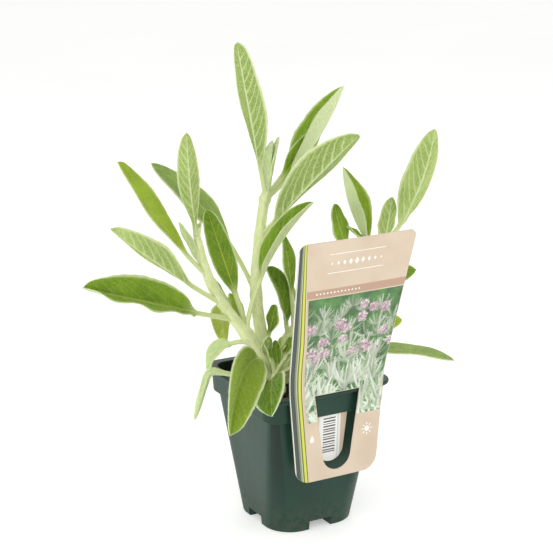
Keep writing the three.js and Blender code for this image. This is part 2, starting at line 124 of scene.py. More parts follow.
def toneBetween(tree, factor, pair):
    return blendColours(tree, factor, colour(pair[0]), colour(pair[1]))


def layOver(tree, base, mask, share, hexText):  # a colour on the base where the mask is
    return blendColours(tree, times(tree, mask, share), base, colour(hexText))


def attribute(tree, name, output="Fac"):
    return addNode(tree, "ShaderNodeAttribute", attribute_name=name).outputs[output]


def objectPlace(tree):
    return addNode(tree, "ShaderNodeTexCoord").outputs["Object"]


def leafMap(tree):
    return addNode(tree, "ShaderNodeUVMap", uv_map="leafMap").outputs["UV"]


def noiseField(tree, place, scale, detail=3.0, roughness=0.55, stretch=None):
    if stretch:
        mapping = addNode(tree, "ShaderNodeMapping")
        plugAll(tree, mapping.inputs, {"Scale": stretch, "Vector": place})
        place = mapping.outputs["Vector"]
    node = addNode(tree, "ShaderNodeTexNoise")
    plugAll(tree, node.inputs, {"Vector": place, "Scale": scale, "Detail": detail,
                                "Roughness": roughness})
    return node.outputs["Fac"]


def bump(tree, height, strength, distance, normal=None):
    node = addNode(tree, "ShaderNodeBump")
    plugAll(tree, node.inputs, {"Height": height, "Strength": strength, "Distance": distance})
    if normal is not None:
        plug(tree, normal, node.inputs["Normal"])
    return node.outputs["Normal"]


def newMaterial(name, constants):  # with its node tree and its Principled shader
    material = bpy.data.materials.new(name)
    material.use_nodes = True
    shader = material.node_tree.nodes["Principled BSDF"]
    plugAll(material.node_tree, shader.inputs, constants)
    return material, material.node_tree, shader


def newGroup(name, inputs, outputs):
    tree = bpy.data.node_groups.new(name, "ShaderNodeTree")
    for label, kind, value in inputs:
        socket = tree.interface.new_socket(label, in_out="INPUT", socket_type="NodeSocket" + kind)
        if value is not None:
            socket.default_value = value
    for label in outputs:
        tree.interface.new_socket(label, in_out="OUTPUT", socket_type="NodeSocketFloat")
    return tree, tree.nodes.new("NodeGroupInput").outputs, tree.nodes.new("NodeGroupOutput").inputs


def useGroup(tree, group, values):
    node = addNode(tree, "ShaderNodeGroup", node_tree=group)
    plugAll(tree, node.inputs, values)
    return node.outputs


def mottle(tree, coarse, fine):
    return useGroup(tree, mottleGroup, {"Place": objectPlace(tree), "Coarse": coarse, "Fine": fine})


def makeMottleGroup():  # soft uneven patches, coarse and fine, from 0 to 1
    tree, given, made = newGroup(
        "mottle",
        [("Place", "Vector", None), ("Coarse", "Float", 60.0), ("Fine", "Float", 500.0)],
        ["Patch", "Grain"],
    )
    patch = noiseField(tree, given["Place"], given["Coarse"], 3.0)
    grain = noiseField(tree, given["Place"], given["Fine"], 2.0)
    plugAll(tree, made, {"Patch": ramp(tree, patch, 0.32, 0.68), "Grain": ramp(tree, grain, 0.3, 0.7)})
    return tree


veinLook = {  # where each mask fades: across from 0 at the rib to 1, along from 0 at the stalk to 1
    "rib": (0.35, 1.25), "ribHalf": 0.115, "ribTaper": -0.075,
    "wobbleScale": 2.2, "wobble": 0.35,
    "veinsEndAcross": (0.72, 0.97), "veinsStart": (0.01, 0.12), "veinsEnd": (0.86, 0.98),
    "netLine": (0.0, 0.17), "netStart": (0.0, 0.06),
    "margin": (0.8, 0.97), "stalk": (-0.06, 0.16),
}


def makeVeinGroup():  # the rib, side veins, fine net and margin of a leaf, as masks
    look = veinLook
    tree, given, made = newGroup(
        "leafVeins",
        [("Across", "Float", 0.0), ("Along", "Float", 0.0), ("Phase", "Float", 0.0),
         ("Map", "Vector", None), ("Vein Width", "Float", 0.17), ("Net Scale", "Float", 7.0)],
        ["Rib", "Vein", "Net", "Margin", "Stalk"],
    )
    along = given["Along"]
    reach = calc(tree, "ABSOLUTE", given["Across"])
    ribEdge = calc(tree, "MULTIPLY_ADD", calc(tree, "MAXIMUM", along, 0.0), look["ribTaper"],
                   look["ribHalf"])
    rib = oneMinus(tree, ramp(tree, calc(tree, "DIVIDE", reach, ribEdge), *look["rib"]))
    wobble = noiseField(tree, given["Map"], look["wobbleScale"], 2.0)
    phase = calc(tree, "ADD", given["Phase"], times(tree, wobble, look["wobble"]))
    away = calc(tree, "PINGPONG", phase, 0.5)  # 0 on a vein, 0.5 half-way to the next
    vein = oneMinus(tree, ramp(tree, away, 0.0, given["Vein Width"]))
    inside = oneMinus(tree, ramp(tree, reach, *look["veinsEndAcross"]))
    ends = times(tree, ramp(tree, along, *look["veinsStart"]),
                 oneMinus(tree, ramp(tree, along, *look["veinsEnd"])))
    vein = times(tree, vein, times(tree, inside, ends))
    cells = addNode(tree, "ShaderNodeTexVoronoi", feature="DISTANCE_TO_EDGE")
    plugAll(tree, cells.inputs, {"Vector": given["Map"], "Scale": given["Net Scale"]})
    net = oneMinus(tree, ramp(tree, cells.outputs["Distance"], *look["netLine"]))
    net = times(tree, net, ramp(tree, along, *look["netStart"]))
    plugAll(tree, made, {"Rib": rib, "Vein": vein, "Net": net,
                         "Margin": ramp(tree, reach, *look["margin"]),
                         "Stalk": oneMinus(tree, ramp(tree, along, *look["stalk"]))})
    return tree


def makeFeltGroup():  # matted hair seen from close: a fine streaky height and a light speckle
    tree, given, made = newGroup(
        "felt",
        [("Map", "Vector", None), ("Place", "Vector", None)],
        ["Height", "Speckle"],
    )
    streaks = noiseField(tree, given["Map"], 16.0, 4.0, 0.7, stretch=(2.6, 0.8, 1.0))
    tufts = noiseField(tree, given["Place"], 1400.0, 2.0, 0.6)
    height = calc(tree, "MULTIPLY_ADD", streaks, 0.7, times(tree, tufts, 0.5))
    plugAll(tree, made, {"Height": height, "Speckle": ramp(tree, tufts, 0.48, 0.72)})
    return tree


mottleGroup = makeMottleGroup()
veinGroup = makeVeinGroup()
feltGroup = makeFeltGroup()
print("shared effects ready")

leafLook = {
    # deep: partly a darker green of the leaf's own, partly painted shade on leaves in shadow
    "upper": {"between": ("69900f", "8cb124"), "deep": "4f780f", "vein": "b9c95a", "relief": -1,
              "pale": "pale", "shares": {"Net": 0.18, "Vein": 0.24, "Rib": 0.8}},
    "under": {"between": ("8fa84a", "a9c066"), "deep": "7e9a3c", "vein": "d8e4ae", "relief": 1,
              "pale": "palerUnder", "shares": {"Net": 0.36, "Vein": 0.7, "Rib": 0.9}},
    "yellow": "cedf42",                  # leaves that are going over
    "pale": "e8f4c4", "paleShare": 0.88,  # young or silvery leaves; on undersides partly painted light that lifts them out of shade
    # the margin's pale is the edge's own hair together with a painted sheen of the rim of light it catches
    "margin": "dbe6b0", "marginShare": 0.85, "speckleShare": 0.16,
    "stalk": "d6e0a6", "stalkShare": 0.92,
    "sheen": 0.2, "sheenTint": "e6efb4",
    "light": {"Subsurface Weight": 0.12, "Subsurface Radius": (0.6, 1.0, 0.25), "Subsurface Scale": 0.0012},
}
stemLook = {
    "tones": ("c6d588", "f0f6c4"), "low": "aec262", "lowShare": 0.6, "speckleShare": 0.42,
    "wool": ("eaf1c8", "fafbe6"), "sheenTint": "f0f3d8",
}


def makeLeafMaterial(name, side):
    look = leafLook
    ownLook = look[side]
    material, tree, shader = newMaterial(name, {
        "Sheen Weight": look["sheen"], "Sheen Roughness": 0.45, "Sheen Tint": colour(look["sheenTint"]),
        "Specular IOR Level": 0.14, **look["light"]})
    uv = leafMap(tree)
    masks = useGroup(tree, veinGroup, {"Map": uv, "Across": attribute(tree, "across"),
                                       "Along": attribute(tree, "along"),
                                       "Phase": attribute(tree, "veinPhase")})
    patches = mottle(tree, 70.0, 520.0)
    felt = useGroup(tree, feltGroup, {"Map": uv, "Place": objectPlace(tree)})
    base = toneBetween(tree, patches["Patch"], ownLook["between"])
    # painted shade: deep darkens leaves that lie in shadow, besides their own darker green
    base = blendColours(tree, attribute(tree, "deep"), base, colour(ownLook["deep"]))
    base = blendColours(tree, attribute(tree, "yellow"), base, colour(look["yellow"]))
    for key, share in ownLook["shares"].items():
        base = layOver(tree, base, masks[key], share, ownLook["vein"])
    # pale: the silver of young leaves and undersides, and on undersides partly painted light
    base = layOver(tree, base, attribute(tree, ownLook["pale"]), look["paleShare"], look["pale"])
    base = layOver(tree, base, felt["Speckle"], look["speckleShare"], look["margin"])
    # painted sheen: the margin is lightened for the rim of light on its hair, besides the hair's own pale
    base = layOver(tree, base, masks["Margin"], look["marginShare"], look["margin"])
    base = layOver(tree, base, masks["Stalk"], look["stalkShare"], look["stalk"])
    relief = calc(tree, "MULTIPLY_ADD", masks["Vein"], 0.9 * ownLook["relief"],
                  times(tree, masks["Net"], 0.45 * ownLook["relief"]))
    normal = bump(tree, relief, 0.8, 0.0003)
    plugAll(tree, shader.inputs, {
        "Base Color": base, "Roughness": calc(tree, "MULTIPLY_ADD", patches["Grain"], 0.12, 0.7),
        "Normal": bump(tree, felt["Height"], 0.55, 0.0002, normal)})
    return material


def makeStemMaterial():
    look = stemLook
    material, tree, shader = newMaterial("woollyStem", {
        "Roughness": 0.85, "Sheen Weight": 0.3, "Sheen Roughness": 0.5,
        "Sheen Tint": colour(look["sheenTint"]), "Specular IOR Level": 0.2})
    patches = mottle(tree, 90.0, 600.0)
    uv = leafMap(tree)
    felt = useGroup(tree, feltGroup, {"Map": uv, "Place": objectPlace(tree)})
    streaks = noiseField(tree, uv, 6.0, 3.0, 0.6, stretch=(3.0, 0.35, 1.0))
    tone = calc(tree, "MULTIPLY_ADD", patches["Patch"], 0.4, ramp(tree, streaks, 0.38, 0.6, 0.0, 0.6))
    base = toneBetween(tree, tone, look["tones"])
    low = oneMinus(tree, ramp(tree, attribute(tree, "along"), 0.0, 0.35))
    base = layOver(tree, base, low, look["lowShare"], look["low"])
    base = layOver(tree, base, felt["Speckle"], look["speckleShare"], look["wool"][1])
    plugAll(tree, shader.inputs, {"Base Color": base, "Normal": bump(tree, felt["Height"], 0.7, 0.0003)})
    return material


def makeWoolMaterial():
    material, tree, shader = newMaterial("wool", {
        "Roughness": 0.9, "Sheen Weight": 0.4, "Sheen Roughness": 0.6, "Specular IOR Level": 0.15})
    base = toneBetween(tree, mottle(tree, 120.0, 900.0)["Patch"], stemLook["wool"])
    plug(tree, base, shader.inputs["Base Color"])
    return material


leafMaterials = [makeLeafMaterial("leafUpper", "upper"), makeLeafMaterial("leafUnder", "under"),
                 makeStemMaterial()]
woolMaterial = makeWoolMaterial()
upperSlot, underSlot, stemSlot = 0, 1, 2


def newObject(name, mesh):
    made = bpy.data.objects.new(name, mesh)
    bpy.context.scene.collection.objects.link(made)
    return made


def plainMesh(name, points, faces):
    mesh = bpy.data.meshes.new(name)
    mesh.from_pydata((np.asarray(points, float) * mm).tolist(), [], [list(f) for f in faces])
    return newObject(name, mesh)


def makePiece(name, points, faces, materials, faceMaterials=None, smooth=True, replaced=()):
    piece = plainMesh(name, points, faces)
    mesh = piece.data
    for material in materials:
        mesh.materials.append(material)
    if faceMaterials is not None:
        mesh.polygons.foreach_set("material_index", np.asarray(faceMaterials, np.int32))
    mesh.polygons.foreach_set("use_smooth", np.full(len(mesh.polygons), smooth))
    mesh.update()
    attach(piece, "root")
    if replaced:
        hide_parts(*replaced)
    return piece


def storeValues(piece, name, values):  # one number for each vertex
    made = piece.data.attributes.new(name, "FLOAT", "POINT")
    made.data.foreach_set("value", np.asarray(values, np.float32))


def storeMap(piece, name, places):  # a UV map from one place for each vertex
    layer = piece.data.uv_layers.new(name=name)
    corners = np.empty(len(piece.data.loops), np.int32)
    piece.data.loops.foreach_get("vertex_index", corners)
    layer.data.foreach_set("uv", np.asarray(places, np.float32)[corners].ravel())


def ringFaces(rings, count, start=0):  # quads between rings of equal length, closed round
    faces = []
    for i in range(rings - 1):
        for j in range(count):
            a = start + i * count + j
            b = start + i * count + (j + 1) % count
            faces.append((a, b, b + count, a + count))
    return faces


def tubeFaces(rings, count, start=0):  # the same, with both ends closed
    last = start + (rings - 1) * count
    return ringFaces(rings, count, start) + [tuple(range(start + count - 1, start - 1, -1)),
                                             tuple(range(last, last + count))]


# Each stem goes through its points, from inside the compost to its growing tip.
# A leaf: at is its place along the stem; heading and rise are where it leaves, heading 0 to the
# right and 90 away; bend lowers it and sway turns it by the tip, and ease above 1 puts the bend
# nearer the tip, or drop puts all of it between two shares of the length; roll turns it about its
# rib; fold lifts its two halves. Of a blade's outline, broad below 1 puts its widest place nearer
# the stalk, and a smaller base or tip is fuller there. wave is a stronger ripple of one side's edge
# and quilt deepens the puckering. deep, yellow and pale, from 0 to 1, are how dark, how far gone and
# how silvery it is; deep is partly the leaf's own darker green and partly painted shade on leaves
# that lie in shadow. palerUnder is pale for the underside alone, partly the underside's own silver
# and partly painted light that lifts it out of shade.
# 24 of these leaves were not set by hand: a least-squares fit of their outlines, run by another
# program, gave nearly all of their shape values.
shoots = {
    "shootLeft": {
        "stem": [(-13.5, -1, 70), (-14, -2, 86), (-20, -4, 103), (-29.5, -6, 119), (-41, -9, 135),
                 (-51, -12, 152), (-57, -14, 170), (-61, -15, 188)],
        "radius": (3.8, 2.2),
        "leaves": [
            dict(at=0.99, heading=256, rise=64, bend=-22, stalk=3, blade=66, width=15, roll=28, fold=26,
                 tip=0.53, broad=1.13, base=1.16, deep=0.4),
            dict(at=0.78, heading=202, rise=47, bend=-14, stalk=18, blade=76, width=24.6, roll=-34,
                 fold=18, tip=0.5, broad=1.06, base=1.06, yellow=0.32),
            dict(at=0.73, heading=179, rise=65, bend=2, stalk=14, blade=31, width=12.6, roll=32, fold=3,
                 broad=0.86, pale=0.55),
            dict(at=0.63, heading=211, sway=-10, rise=34, bend=-8, stalk=25, blade=66, width=23, roll=46,
                 fold=38, tip=0.65, broad=1),
            dict(at=0.54, heading=210, sway=-3, rise=17, bend=-4, stalk=27, blade=78, width=32.2,
                 roll=-41, fold=41, broad=0.87, base=0.81,
                 wave=dict(side=1, height=2.2, count=3.1, turn=2.3), deep=0.25),
            dict(at=0.42, heading=165, sway=-12, rise=72, bend=3, stalk=30, blade=55, width=16.4,
                 roll=-60, fold=20, tip=0.44, broad=0.88, base=0.92, deep=0.55),
            dict(at=0.46, heading=165, rise=61, bend=4, stalk=14, blade=25, width=8, roll=20, fold=12,
                 deep=0.5),
            dict(at=0.43, heading=150, rise=62, bend=0, stalk=8, blade=22, width=11, roll=-10, fold=14,
                 yellow=0.4),
            dict(at=0.27, heading=285, rise=74, bend=4, stalk=5, blade=16, width=8, roll=10, fold=14,
                 deep=0.7),
            dict(at=0.48, heading=102, sway=20, rise=67, bend=190, stalk=29, blade=44, width=19.5,
                 roll=-15, fold=8, yellow=1.0),
            dict(at=0.45, heading=5, sway=-3, rise=89, bend=43, ease=0.71, stalk=37, blade=58, width=21.3,
                 roll=23, fold=55, tip=0.62, base=0.97, deep=0.35,
                 palerUnder=0.6),
            dict(at=0.36, heading=183, rise=58, bend=147, ease=0.72, stalk=18, blade=25, width=15,
                 roll=-28, fold=34, tip=0.67, broad=0.6, base=1.1, pale=0.7),
            dict(at=0.17, heading=245, sway=20, rise=77, bend=126, ease=0.65, stalk=33, blade=81,
                 width=30.8, roll=-44, fold=40, tip=0.54, broad=1.02, base=0.78, deep=0.7, yellow=0.2,
                 quilt=2.4),
            dict(at=0.17, heading=215, sway=-15, rise=18, bend=90, drop=(0.54, 0.66), stalk=30, blade=48,
                 width=6, roll=85, fold=16, pale=0.6),
        ],
    },
    "shootCentre": {
        "stem": [(-17, 9, 70), (-17, 9, 84), (-20, 7, 106), (-24, 5, 130), (-25.5, 6, 150),
                 (-23.5, 7, 175), (-20.5, 8, 200), (-18, 8, 210)],
        "radius": (4, 2.6),
        "leaves": [
            dict(at=0.93, heading=230, sway=20, rise=76, bend=9, stalk=19, blade=85, width=20.7, roll=-8,
                 fold=23, tip=0.47, broad=0.86, base=1.12, deep=0.75),
            dict(at=0.9, heading=40, sway=-12, rise=28, bend=-39, stalk=20, blade=70, width=31, roll=-12,
                 fold=55, tip=0.73, broad=0.98, base=1.05, palerUnder=0.9),
            dict(at=0.99, heading=10, rise=77, bend=-2, stalk=3, blade=31, width=14, roll=0, fold=16,
                 tip=0.6, pale=0.9),
            dict(at=0.99, heading=320, rise=82, bend=-2, stalk=3, blade=29, width=13, roll=0, fold=16,
                 tip=0.6, pale=0.9),
            dict(at=0.74, heading=340, sway=-18, rise=49, bend=5, stalk=14, blade=84, width=32.7,
                 roll=-26, fold=29, tip=0.57, broad=1.06, base=0.84, deep=0.7),
            dict(at=0.52, heading=157, rise=67, bend=39, stalk=35, blade=73, width=31, roll=-3, fold=5,
                 tip=0.68, base=1.27, deep=0.3, pale=0.15),
            dict(at=0.3, heading=339, rise=69, bend=-13, stalk=10, blade=20, width=11.9, roll=60, fold=2,
                 tip=0.49, broad=1.01, deep=0.5),
            dict(at=0.2, heading=65, rise=24, bend=34, stalk=18, blade=44, width=17, roll=0, fold=12,
                 deep=0.5),
            dict(at=0.9, heading=42, rise=42, bend=4, stalk=18, blade=42, width=14, roll=60, fold=16),
            dict(at=0.22, heading=190, rise=56, bend=10, stalk=4, blade=15, width=6.5, roll=0, fold=10,
                 deep=0.6),
            dict(at=0.21, heading=328, rise=50, bend=-6, stalk=5, blade=17, width=8, roll=20, fold=12,
                 yellow=0.5),
            dict(at=0.19, heading=310, rise=36, bend=16, stalk=5, blade=16, width=9, roll=-20, fold=8,
                 deep=0.8),
        ],
    },
    "shootRight": {
        "stem": [(-8, 8, 70), (-8.5, 8, 85), (-7, 10, 100), (-4, 13, 114), (12, 16, 128),
                 (30, 19, 142), (43, 22, 155), (51, 23, 165), (55, 24, 172)],
        "radius": (3.6, 2.4),
        "leaves": [
            dict(at=0.9, heading=325, rise=48, bend=-35, stalk=24, blade=68, width=25.4, roll=-40,
                 fold=39, broad=0.88, base=0.94),
            dict(at=0.875, heading=155, rise=45, bend=-42, stalk=8, blade=52, width=27.6, roll=1, fold=55,
                 tip=0.76, broad=0.93, yellow=0.2, palerUnder=1.0),
            dict(at=0.73, heading=170, rise=54, bend=-28, stalk=18, blade=30, width=18.5, roll=-24,
                 fold=6, tip=0.61, deep=0.15),
            dict(at=0.99, heading=336, rise=80, bend=-2, stalk=3, blade=28, width=14.1, roll=-32, fold=7,
                 tip=0.49, broad=0.78, base=1.14),
            dict(at=0.87, heading=166, rise=46, bend=10, stalk=10, blade=16, width=7, roll=0, fold=20),
            dict(at=0.72, heading=332, rise=8, bend=-8, stalk=12, blade=27, width=14.5, roll=84, fold=21,
                 tip=0.58, deep=0.3),
            dict(at=0.45, heading=348, rise=-8, bend=-26, stalk=30, blade=33, width=14.8, roll=54,
                 fold=10, broad=0.93, yellow=0.6),
            dict(at=0.5, heading=80, rise=34, bend=30, stalk=16, blade=60, width=21, roll=0, fold=12,
                 deep=0.3),
            dict(at=0.35, heading=174, rise=86, bend=25, stalk=10, blade=40, width=23.9, roll=-24,
                 fold=32, broad=0.98, deep=0.75),
            dict(at=0.36, heading=50, rise=24, bend=30, stalk=18, blade=54, width=19, roll=0, fold=12,
                 deep=0.4),
            dict(at=0.4, heading=149, rise=88, bend=10, stalk=24, blade=38, width=15, roll=-1, fold=10,
                 tip=0.58, broad=1.03, base=1.25, deep=0.5),
        ],
    },
    "rosette": {
        "stem": [(-10, -9, 70), (-10, -9, 84), (-12, -10, 92), (-14, -12, 98)],
        "radius": (3.6, 2.6),
        "leaves": [
            dict(at=0.75, heading=265, sway=5, rise=25, bend=79, ease=2.08, stalk=35, blade=36, width=27,
                 roll=48, fold=8, tip=0.66, broad=0.94, base=1, deep=0.9, quilt=2.6),
            dict(at=0.9, heading=358, sway=-8, rise=29, bend=44, stalk=52, blade=62, width=16, roll=8,
                 fold=12, deep=0.3, pale=0.25),
            dict(at=0.6, heading=12, rise=50, bend=26, stalk=38, blade=52, width=20, roll=0, fold=12,
                 deep=0.4),
        ],
    },
}

leafForm = {
    "halfPlaces": (0.0, 0.045, 0.1, 0.18, 0.28, 0.4, 0.53, 0.66, 0.78, 0.88, 0.95, 0.985),
    "stationGap": 1.15, "tipPlaces": (0.62, 0.4, 0.22, 0.1, 0.03, 0.0), "tipFrom": 0.955,
    "edgeHeights": (0.42, 0.42), "crown": 0.18, "droop": 0.035,  # heights over and under, at the margin
    "grooveDepth": 0.35, "grooveWidth": 0.9,
    "ribDepth": 0.7, "ribWidth": 1.1, "tipRib": 0.45,
    "stalkHalf": 1.7, "stalkTaper": 0.6, "stalkFlare": 0.35, "flareLength": 4,
    "stalkOver": (0.9, 1.1, 0.3), "stalkUnder": (1.6, 1.2, 0.4),  # at the middle, half-way and edge
    "veinGap": 9.4, "veinNarrowing": 0.6, "veinSlant": 1.1, "veinCurve": 0.11, "veinWidth": 1.1,
    "veinOver": 0.3, "veinUnder": 0.25, "puff": 0.38, "usualWidth": 30, "puffWidth": 16,
    "broad": 0.9, "base": 1.2, "tip": 0.55, "flatFrom": 0.22, "foldedFrom": 0.11,
    "rippleWaves": 2.0, "rippleHeight": 0.45, "rippleTurn": 2.1, "waveFrom": (0.08, 0.36),
    "marginWaves": 0.008, "marginPitches": (0.9, 0.37),
}


def curveThrough(points, count):  # a centripetal Catmull-Rom line, with its directions
    points = [np.array(p, float) for p in points]
    points = [2 * points[0] - points[1]] + points + [2 * points[-1] - points[-2]]
    shares = np.linspace(0, 1, count) * (len(points) - 3)
    line = []
    for share in shares:
        i = min(int(share), len(points) - 4)
        p = points[i:i + 4]
        gaps = [max(np.linalg.norm(p[k + 1] - p[k]), 1e-4) ** 0.5 for k in range(3)]
        t1 = (p[1] - p[0]) / gaps[0] - (p[2] - p[0]) / (gaps[0] + gaps[1]) + (p[2] - p[1]) / gaps[1]
        t2 = (p[2] - p[1]) / gaps[1] - (p[3] - p[1]) / (gaps[1] + gaps[2]) + (p[3] - p[2]) / gaps[2]
        t1, t2 = t1 * gaps[1], t2 * gaps[1]
        w = share - i
        c2 = -3 * p[1] + 3 * p[2] - 2 * t1 - t2
        c3 = 2 * p[1] - 2 * p[2] + t1 + t2
        line.append(p[1] + t1 * w + c2 * w * w + c3 * w ** 3)
    line = np.array(line)
    return line, unit(np.gradient(line, axis=0))


def unit(vectors):
    return vectors / np.maximum(np.linalg.norm(vectors, axis=-1, keepdims=True), 1e-9)


def leafFrames(leaf, shares):  # the leaf's directions at shares of its whole length
    heading = np.radians(leaf["heading"] + leaf.get("sway", 0) * shares)
    bent = smoothStep(shares, *leaf["drop"]) if "drop" in leaf else shares ** leaf.get("ease", 1)
    rise = np.radians(leaf["rise"] - leaf["bend"] * bent)
    roll = math.radians(leaf["roll"])
    along = np.stack([np.cos(rise) * np.cos(heading), np.cos(rise) * np.sin(heading), np.sin(rise)], 1)
    level = np.stack([-np.sin(heading), np.cos(heading), np.zeros_like(heading)], 1)
    side = level * math.cos(roll) + np.cross(along, level) * math.sin(roll)
    return along, side, np.cross(along, side)


def leafLine(leaf, root, shares):
    fine = 400
    steps = (np.arange(fine) + 0.5) / fine
    length = leaf["stalk"] + leaf["blade"]
    walk = np.vstack([np.zeros(3), np.cumsum(leafFrames(leaf, steps)[0], 0) * length / fine])
    ticks = np.linspace(0, 1, fine + 1)
    return root + np.stack([np.interp(shares, ticks, walk[:, k]) for k in range(3)], 1)


def bladeOutline(leaf, blade):  # half width as a share of the widest
    form = leafForm
    place = np.clip(blade, 0, 1) ** leaf.get("broad", form["broad"])
    wave = np.clip(np.sin(np.pi * place), 0, 1)
    return wave ** np.where(place < 0.5, leaf.get("base", form["base"]), leaf.get("tip", form["tip"]))


def column(values):
    return np.asarray(values)[:, None]


def leafStations(leaf):  # places along a leaf, crowded towards the tip
    form = leafForm
    total = leaf["stalk"] + leaf["blade"]
    gap = min(form["stationGap"], total / 40)
    shares = np.linspace(0, 1, int(total / gap) + 1)
    tipShares = 1 - (1 - shares[-1 - 4]) * np.array(form["tipPlaces"])
    return np.concatenate([shares[:-4], tipShares])


def leafHalves(leaf, inBlade, millimetres, tipRound, number):  # half the width at each station
    form = leafForm
    stalkHalf = form["stalkHalf"] * (1 - form["stalkTaper"] * inBlade)
    stalkHalf = stalkHalf * (1 + form["stalkFlare"] * np.exp(-millimetres / form["flareLength"]))
    bladeHalf = leaf["width"] / 2 * bladeOutline(leaf, inBlade)
    half = (bladeHalf ** 4 + stalkHalf ** 4) ** 0.25
    short, long = form["marginPitches"]
    margin = 1 + form["marginWaves"] * (np.sin(millimetres * short + number)
                                        + np.sin(millimetres * long + 2 * number))
    return half * tipRound * np.where(inBlade > 0.1, margin, 1)


def edgeWave(leaf, places, inBlade, number):  # the ripple of a leaf's two edges
    form = leafForm
    ripple = leaf.get("ripple", form["rippleHeight"])
    turns = form["rippleTurn"] * (number + np.sign(places)[None, :])
    wave = ripple * np.sin(2 * np.pi * form["rippleWaves"] * column(inBlade) + turns)
    if "wave" in leaf:  # one side's edge has its own, stronger ripple
        own = leaf["wave"]
        stronger = own["height"] * np.sin(2 * np.pi * own["count"] * column(inBlade) + own["turn"])
        stronger = stronger * column(smoothStep(inBlade, *form["waveFrom"]))
        wave = np.where(np.sign(places)[None, :] == own["side"], stronger, wave)
    return wave


def leafSurface(leaf, root, number):
    form = leafForm
    shares = leafStations(leaf)
    millimetres = shares * (leaf["stalk"] + leaf["blade"])
    blade = (millimetres - leaf["stalk"]) / leaf["blade"]
    inBlade = np.clip(blade, 0, 1)
    along, side, up = leafFrames(leaf, shares)
    line = leafLine(leaf, root, shares)
    pastRound = np.clip(inBlade - form["tipFrom"], 0, 1) / 0.0455
    tipRound = np.sqrt(np.clip(1 - pastRound ** 2, 0.0, 1))
    half = leafHalves(leaf, inBlade, millimetres, tipRound, number)
    flat = smoothStep(inBlade, 0, form["flatFrom"])
    fold = np.radians(leaf["fold"]) * smoothStep(inBlade, 0, form["foldedFrom"])
    rib = 1 - (1 - form["tipRib"]) * inBlade

    right = np.array(form["halfPlaces"] + (1.0,))
    places = np.concatenate([-right[::-1], right[1:]])
    reach = np.abs(places)[None, :]
    x = reach * half[:, None]

    veinGap = form["veinGap"] * (leaf["width"] / form["usualWidth"]) ** form["veinNarrowing"]
    phase = (column(millimetres - leaf["stalk"]) - form["veinSlant"] * x - form["veinCurve"] * x * x)
    phase = phase / veinGap
    away = np.abs(phase - np.round(phase)) * veinGap
    vein = np.exp(-(away / form["veinWidth"]) ** 2)
    veined = column(flat * smoothStep(1 - inBlade, 0.02, 0.15)) * (1 - smoothStep(reach, 0.7, 0.98))
    veined = veined * smoothStep(x, 0.3, 1.5)
    puff = form["puff"] * leaf.get("quilt", 1) * veined * (1 - vein)
    puff = puff * min(leaf["width"] / form["puffWidth"], 1)

    def through(middle, quarter, edge):  # a height that passes through three values across the leaf
        return (middle + (-3 * middle + 4 * quarter - edge) * reach
                + (2 * middle - 4 * quarter + 2 * edge) * reach ** 2)

    groove = form["grooveDepth"] * np.exp(-(x / form["grooveWidth"]) ** 2)
    ridge = np.exp(-(x / form["ribWidth"]) ** 2)
    overBlade = form["edgeHeights"][0] + form["crown"] * np.sin(np.pi * reach ** 0.8) - groove
    underBlade = form["edgeHeights"][1] + column(rib) * form["ribDepth"] * ridge
    over = through(*form["stalkOver"]) * (1 - column(flat)) + overBlade * column(flat)
    under = through(*form["stalkUnder"]) * (1 - column(flat)) + underBlade * column(flat)
    over = over + puff - form["veinOver"] * veined * vein
    under = under - puff + form["veinUnder"] * veined * vein
    edge = np.sqrt(np.clip(1 - reach ** 14, 0, 1)) * column(0.25 + 0.75 * tipRound)
    over, under = over * edge, under * edge

    wave = edgeWave(leaf, places, inBlade, number)
    lift = reach * column(half * np.sin(fold)) + column(flat) * wave * np.clip(2 * reach - 1, 0, 1) ** 1.3
    droop = -form["droop"] * column(flat * half) * smoothStep(reach, 0.3, 1.0)

    def surface(heights):
        level = lift + droop + heights
        aside = (places[None, :] * column(half * np.cos(fold)))[..., None]
        return line[:, None, :] + side[:, None, :] * aside + up[:, None, :] * level[..., None]

    count = len(places)

    def roundRing(top, bottom):  # across the upper side and back under it
        return np.concatenate([top, bottom[:, count - 2:0:-1]], 1)

    spread = np.broadcast_to(places, (len(shares), count))
    rings = roundRing(surface(over), surface(-under))
    across = roundRing(spread, spread)
    facing = np.zeros(rings.shape[1])
    facing[:count - 1] = 1  # the quads of the upper side come first round each ring
    return dict(rings=rings, across=across, phase=roundRing(phase, phase), x=across * half[:, None],
                blade=blade, millimetres=millimetres, upper=facing,
                flow=np.broadcast_to(along[:, None, :], rings.shape), deep=leaf.get("deep", 0.0),
                yellow=leaf.get("yellow", 0.0), pale=leaf.get("pale", 0.0),
                palerUnder=leaf.get("palerUnder", leaf.get("pale", 0.0)))


stemForm = {"sides": 24, "gap": 1.6, "squareness": 0.1, "swell": 0.22, "swellLength": 3.5,
            "endLength": 8.0}


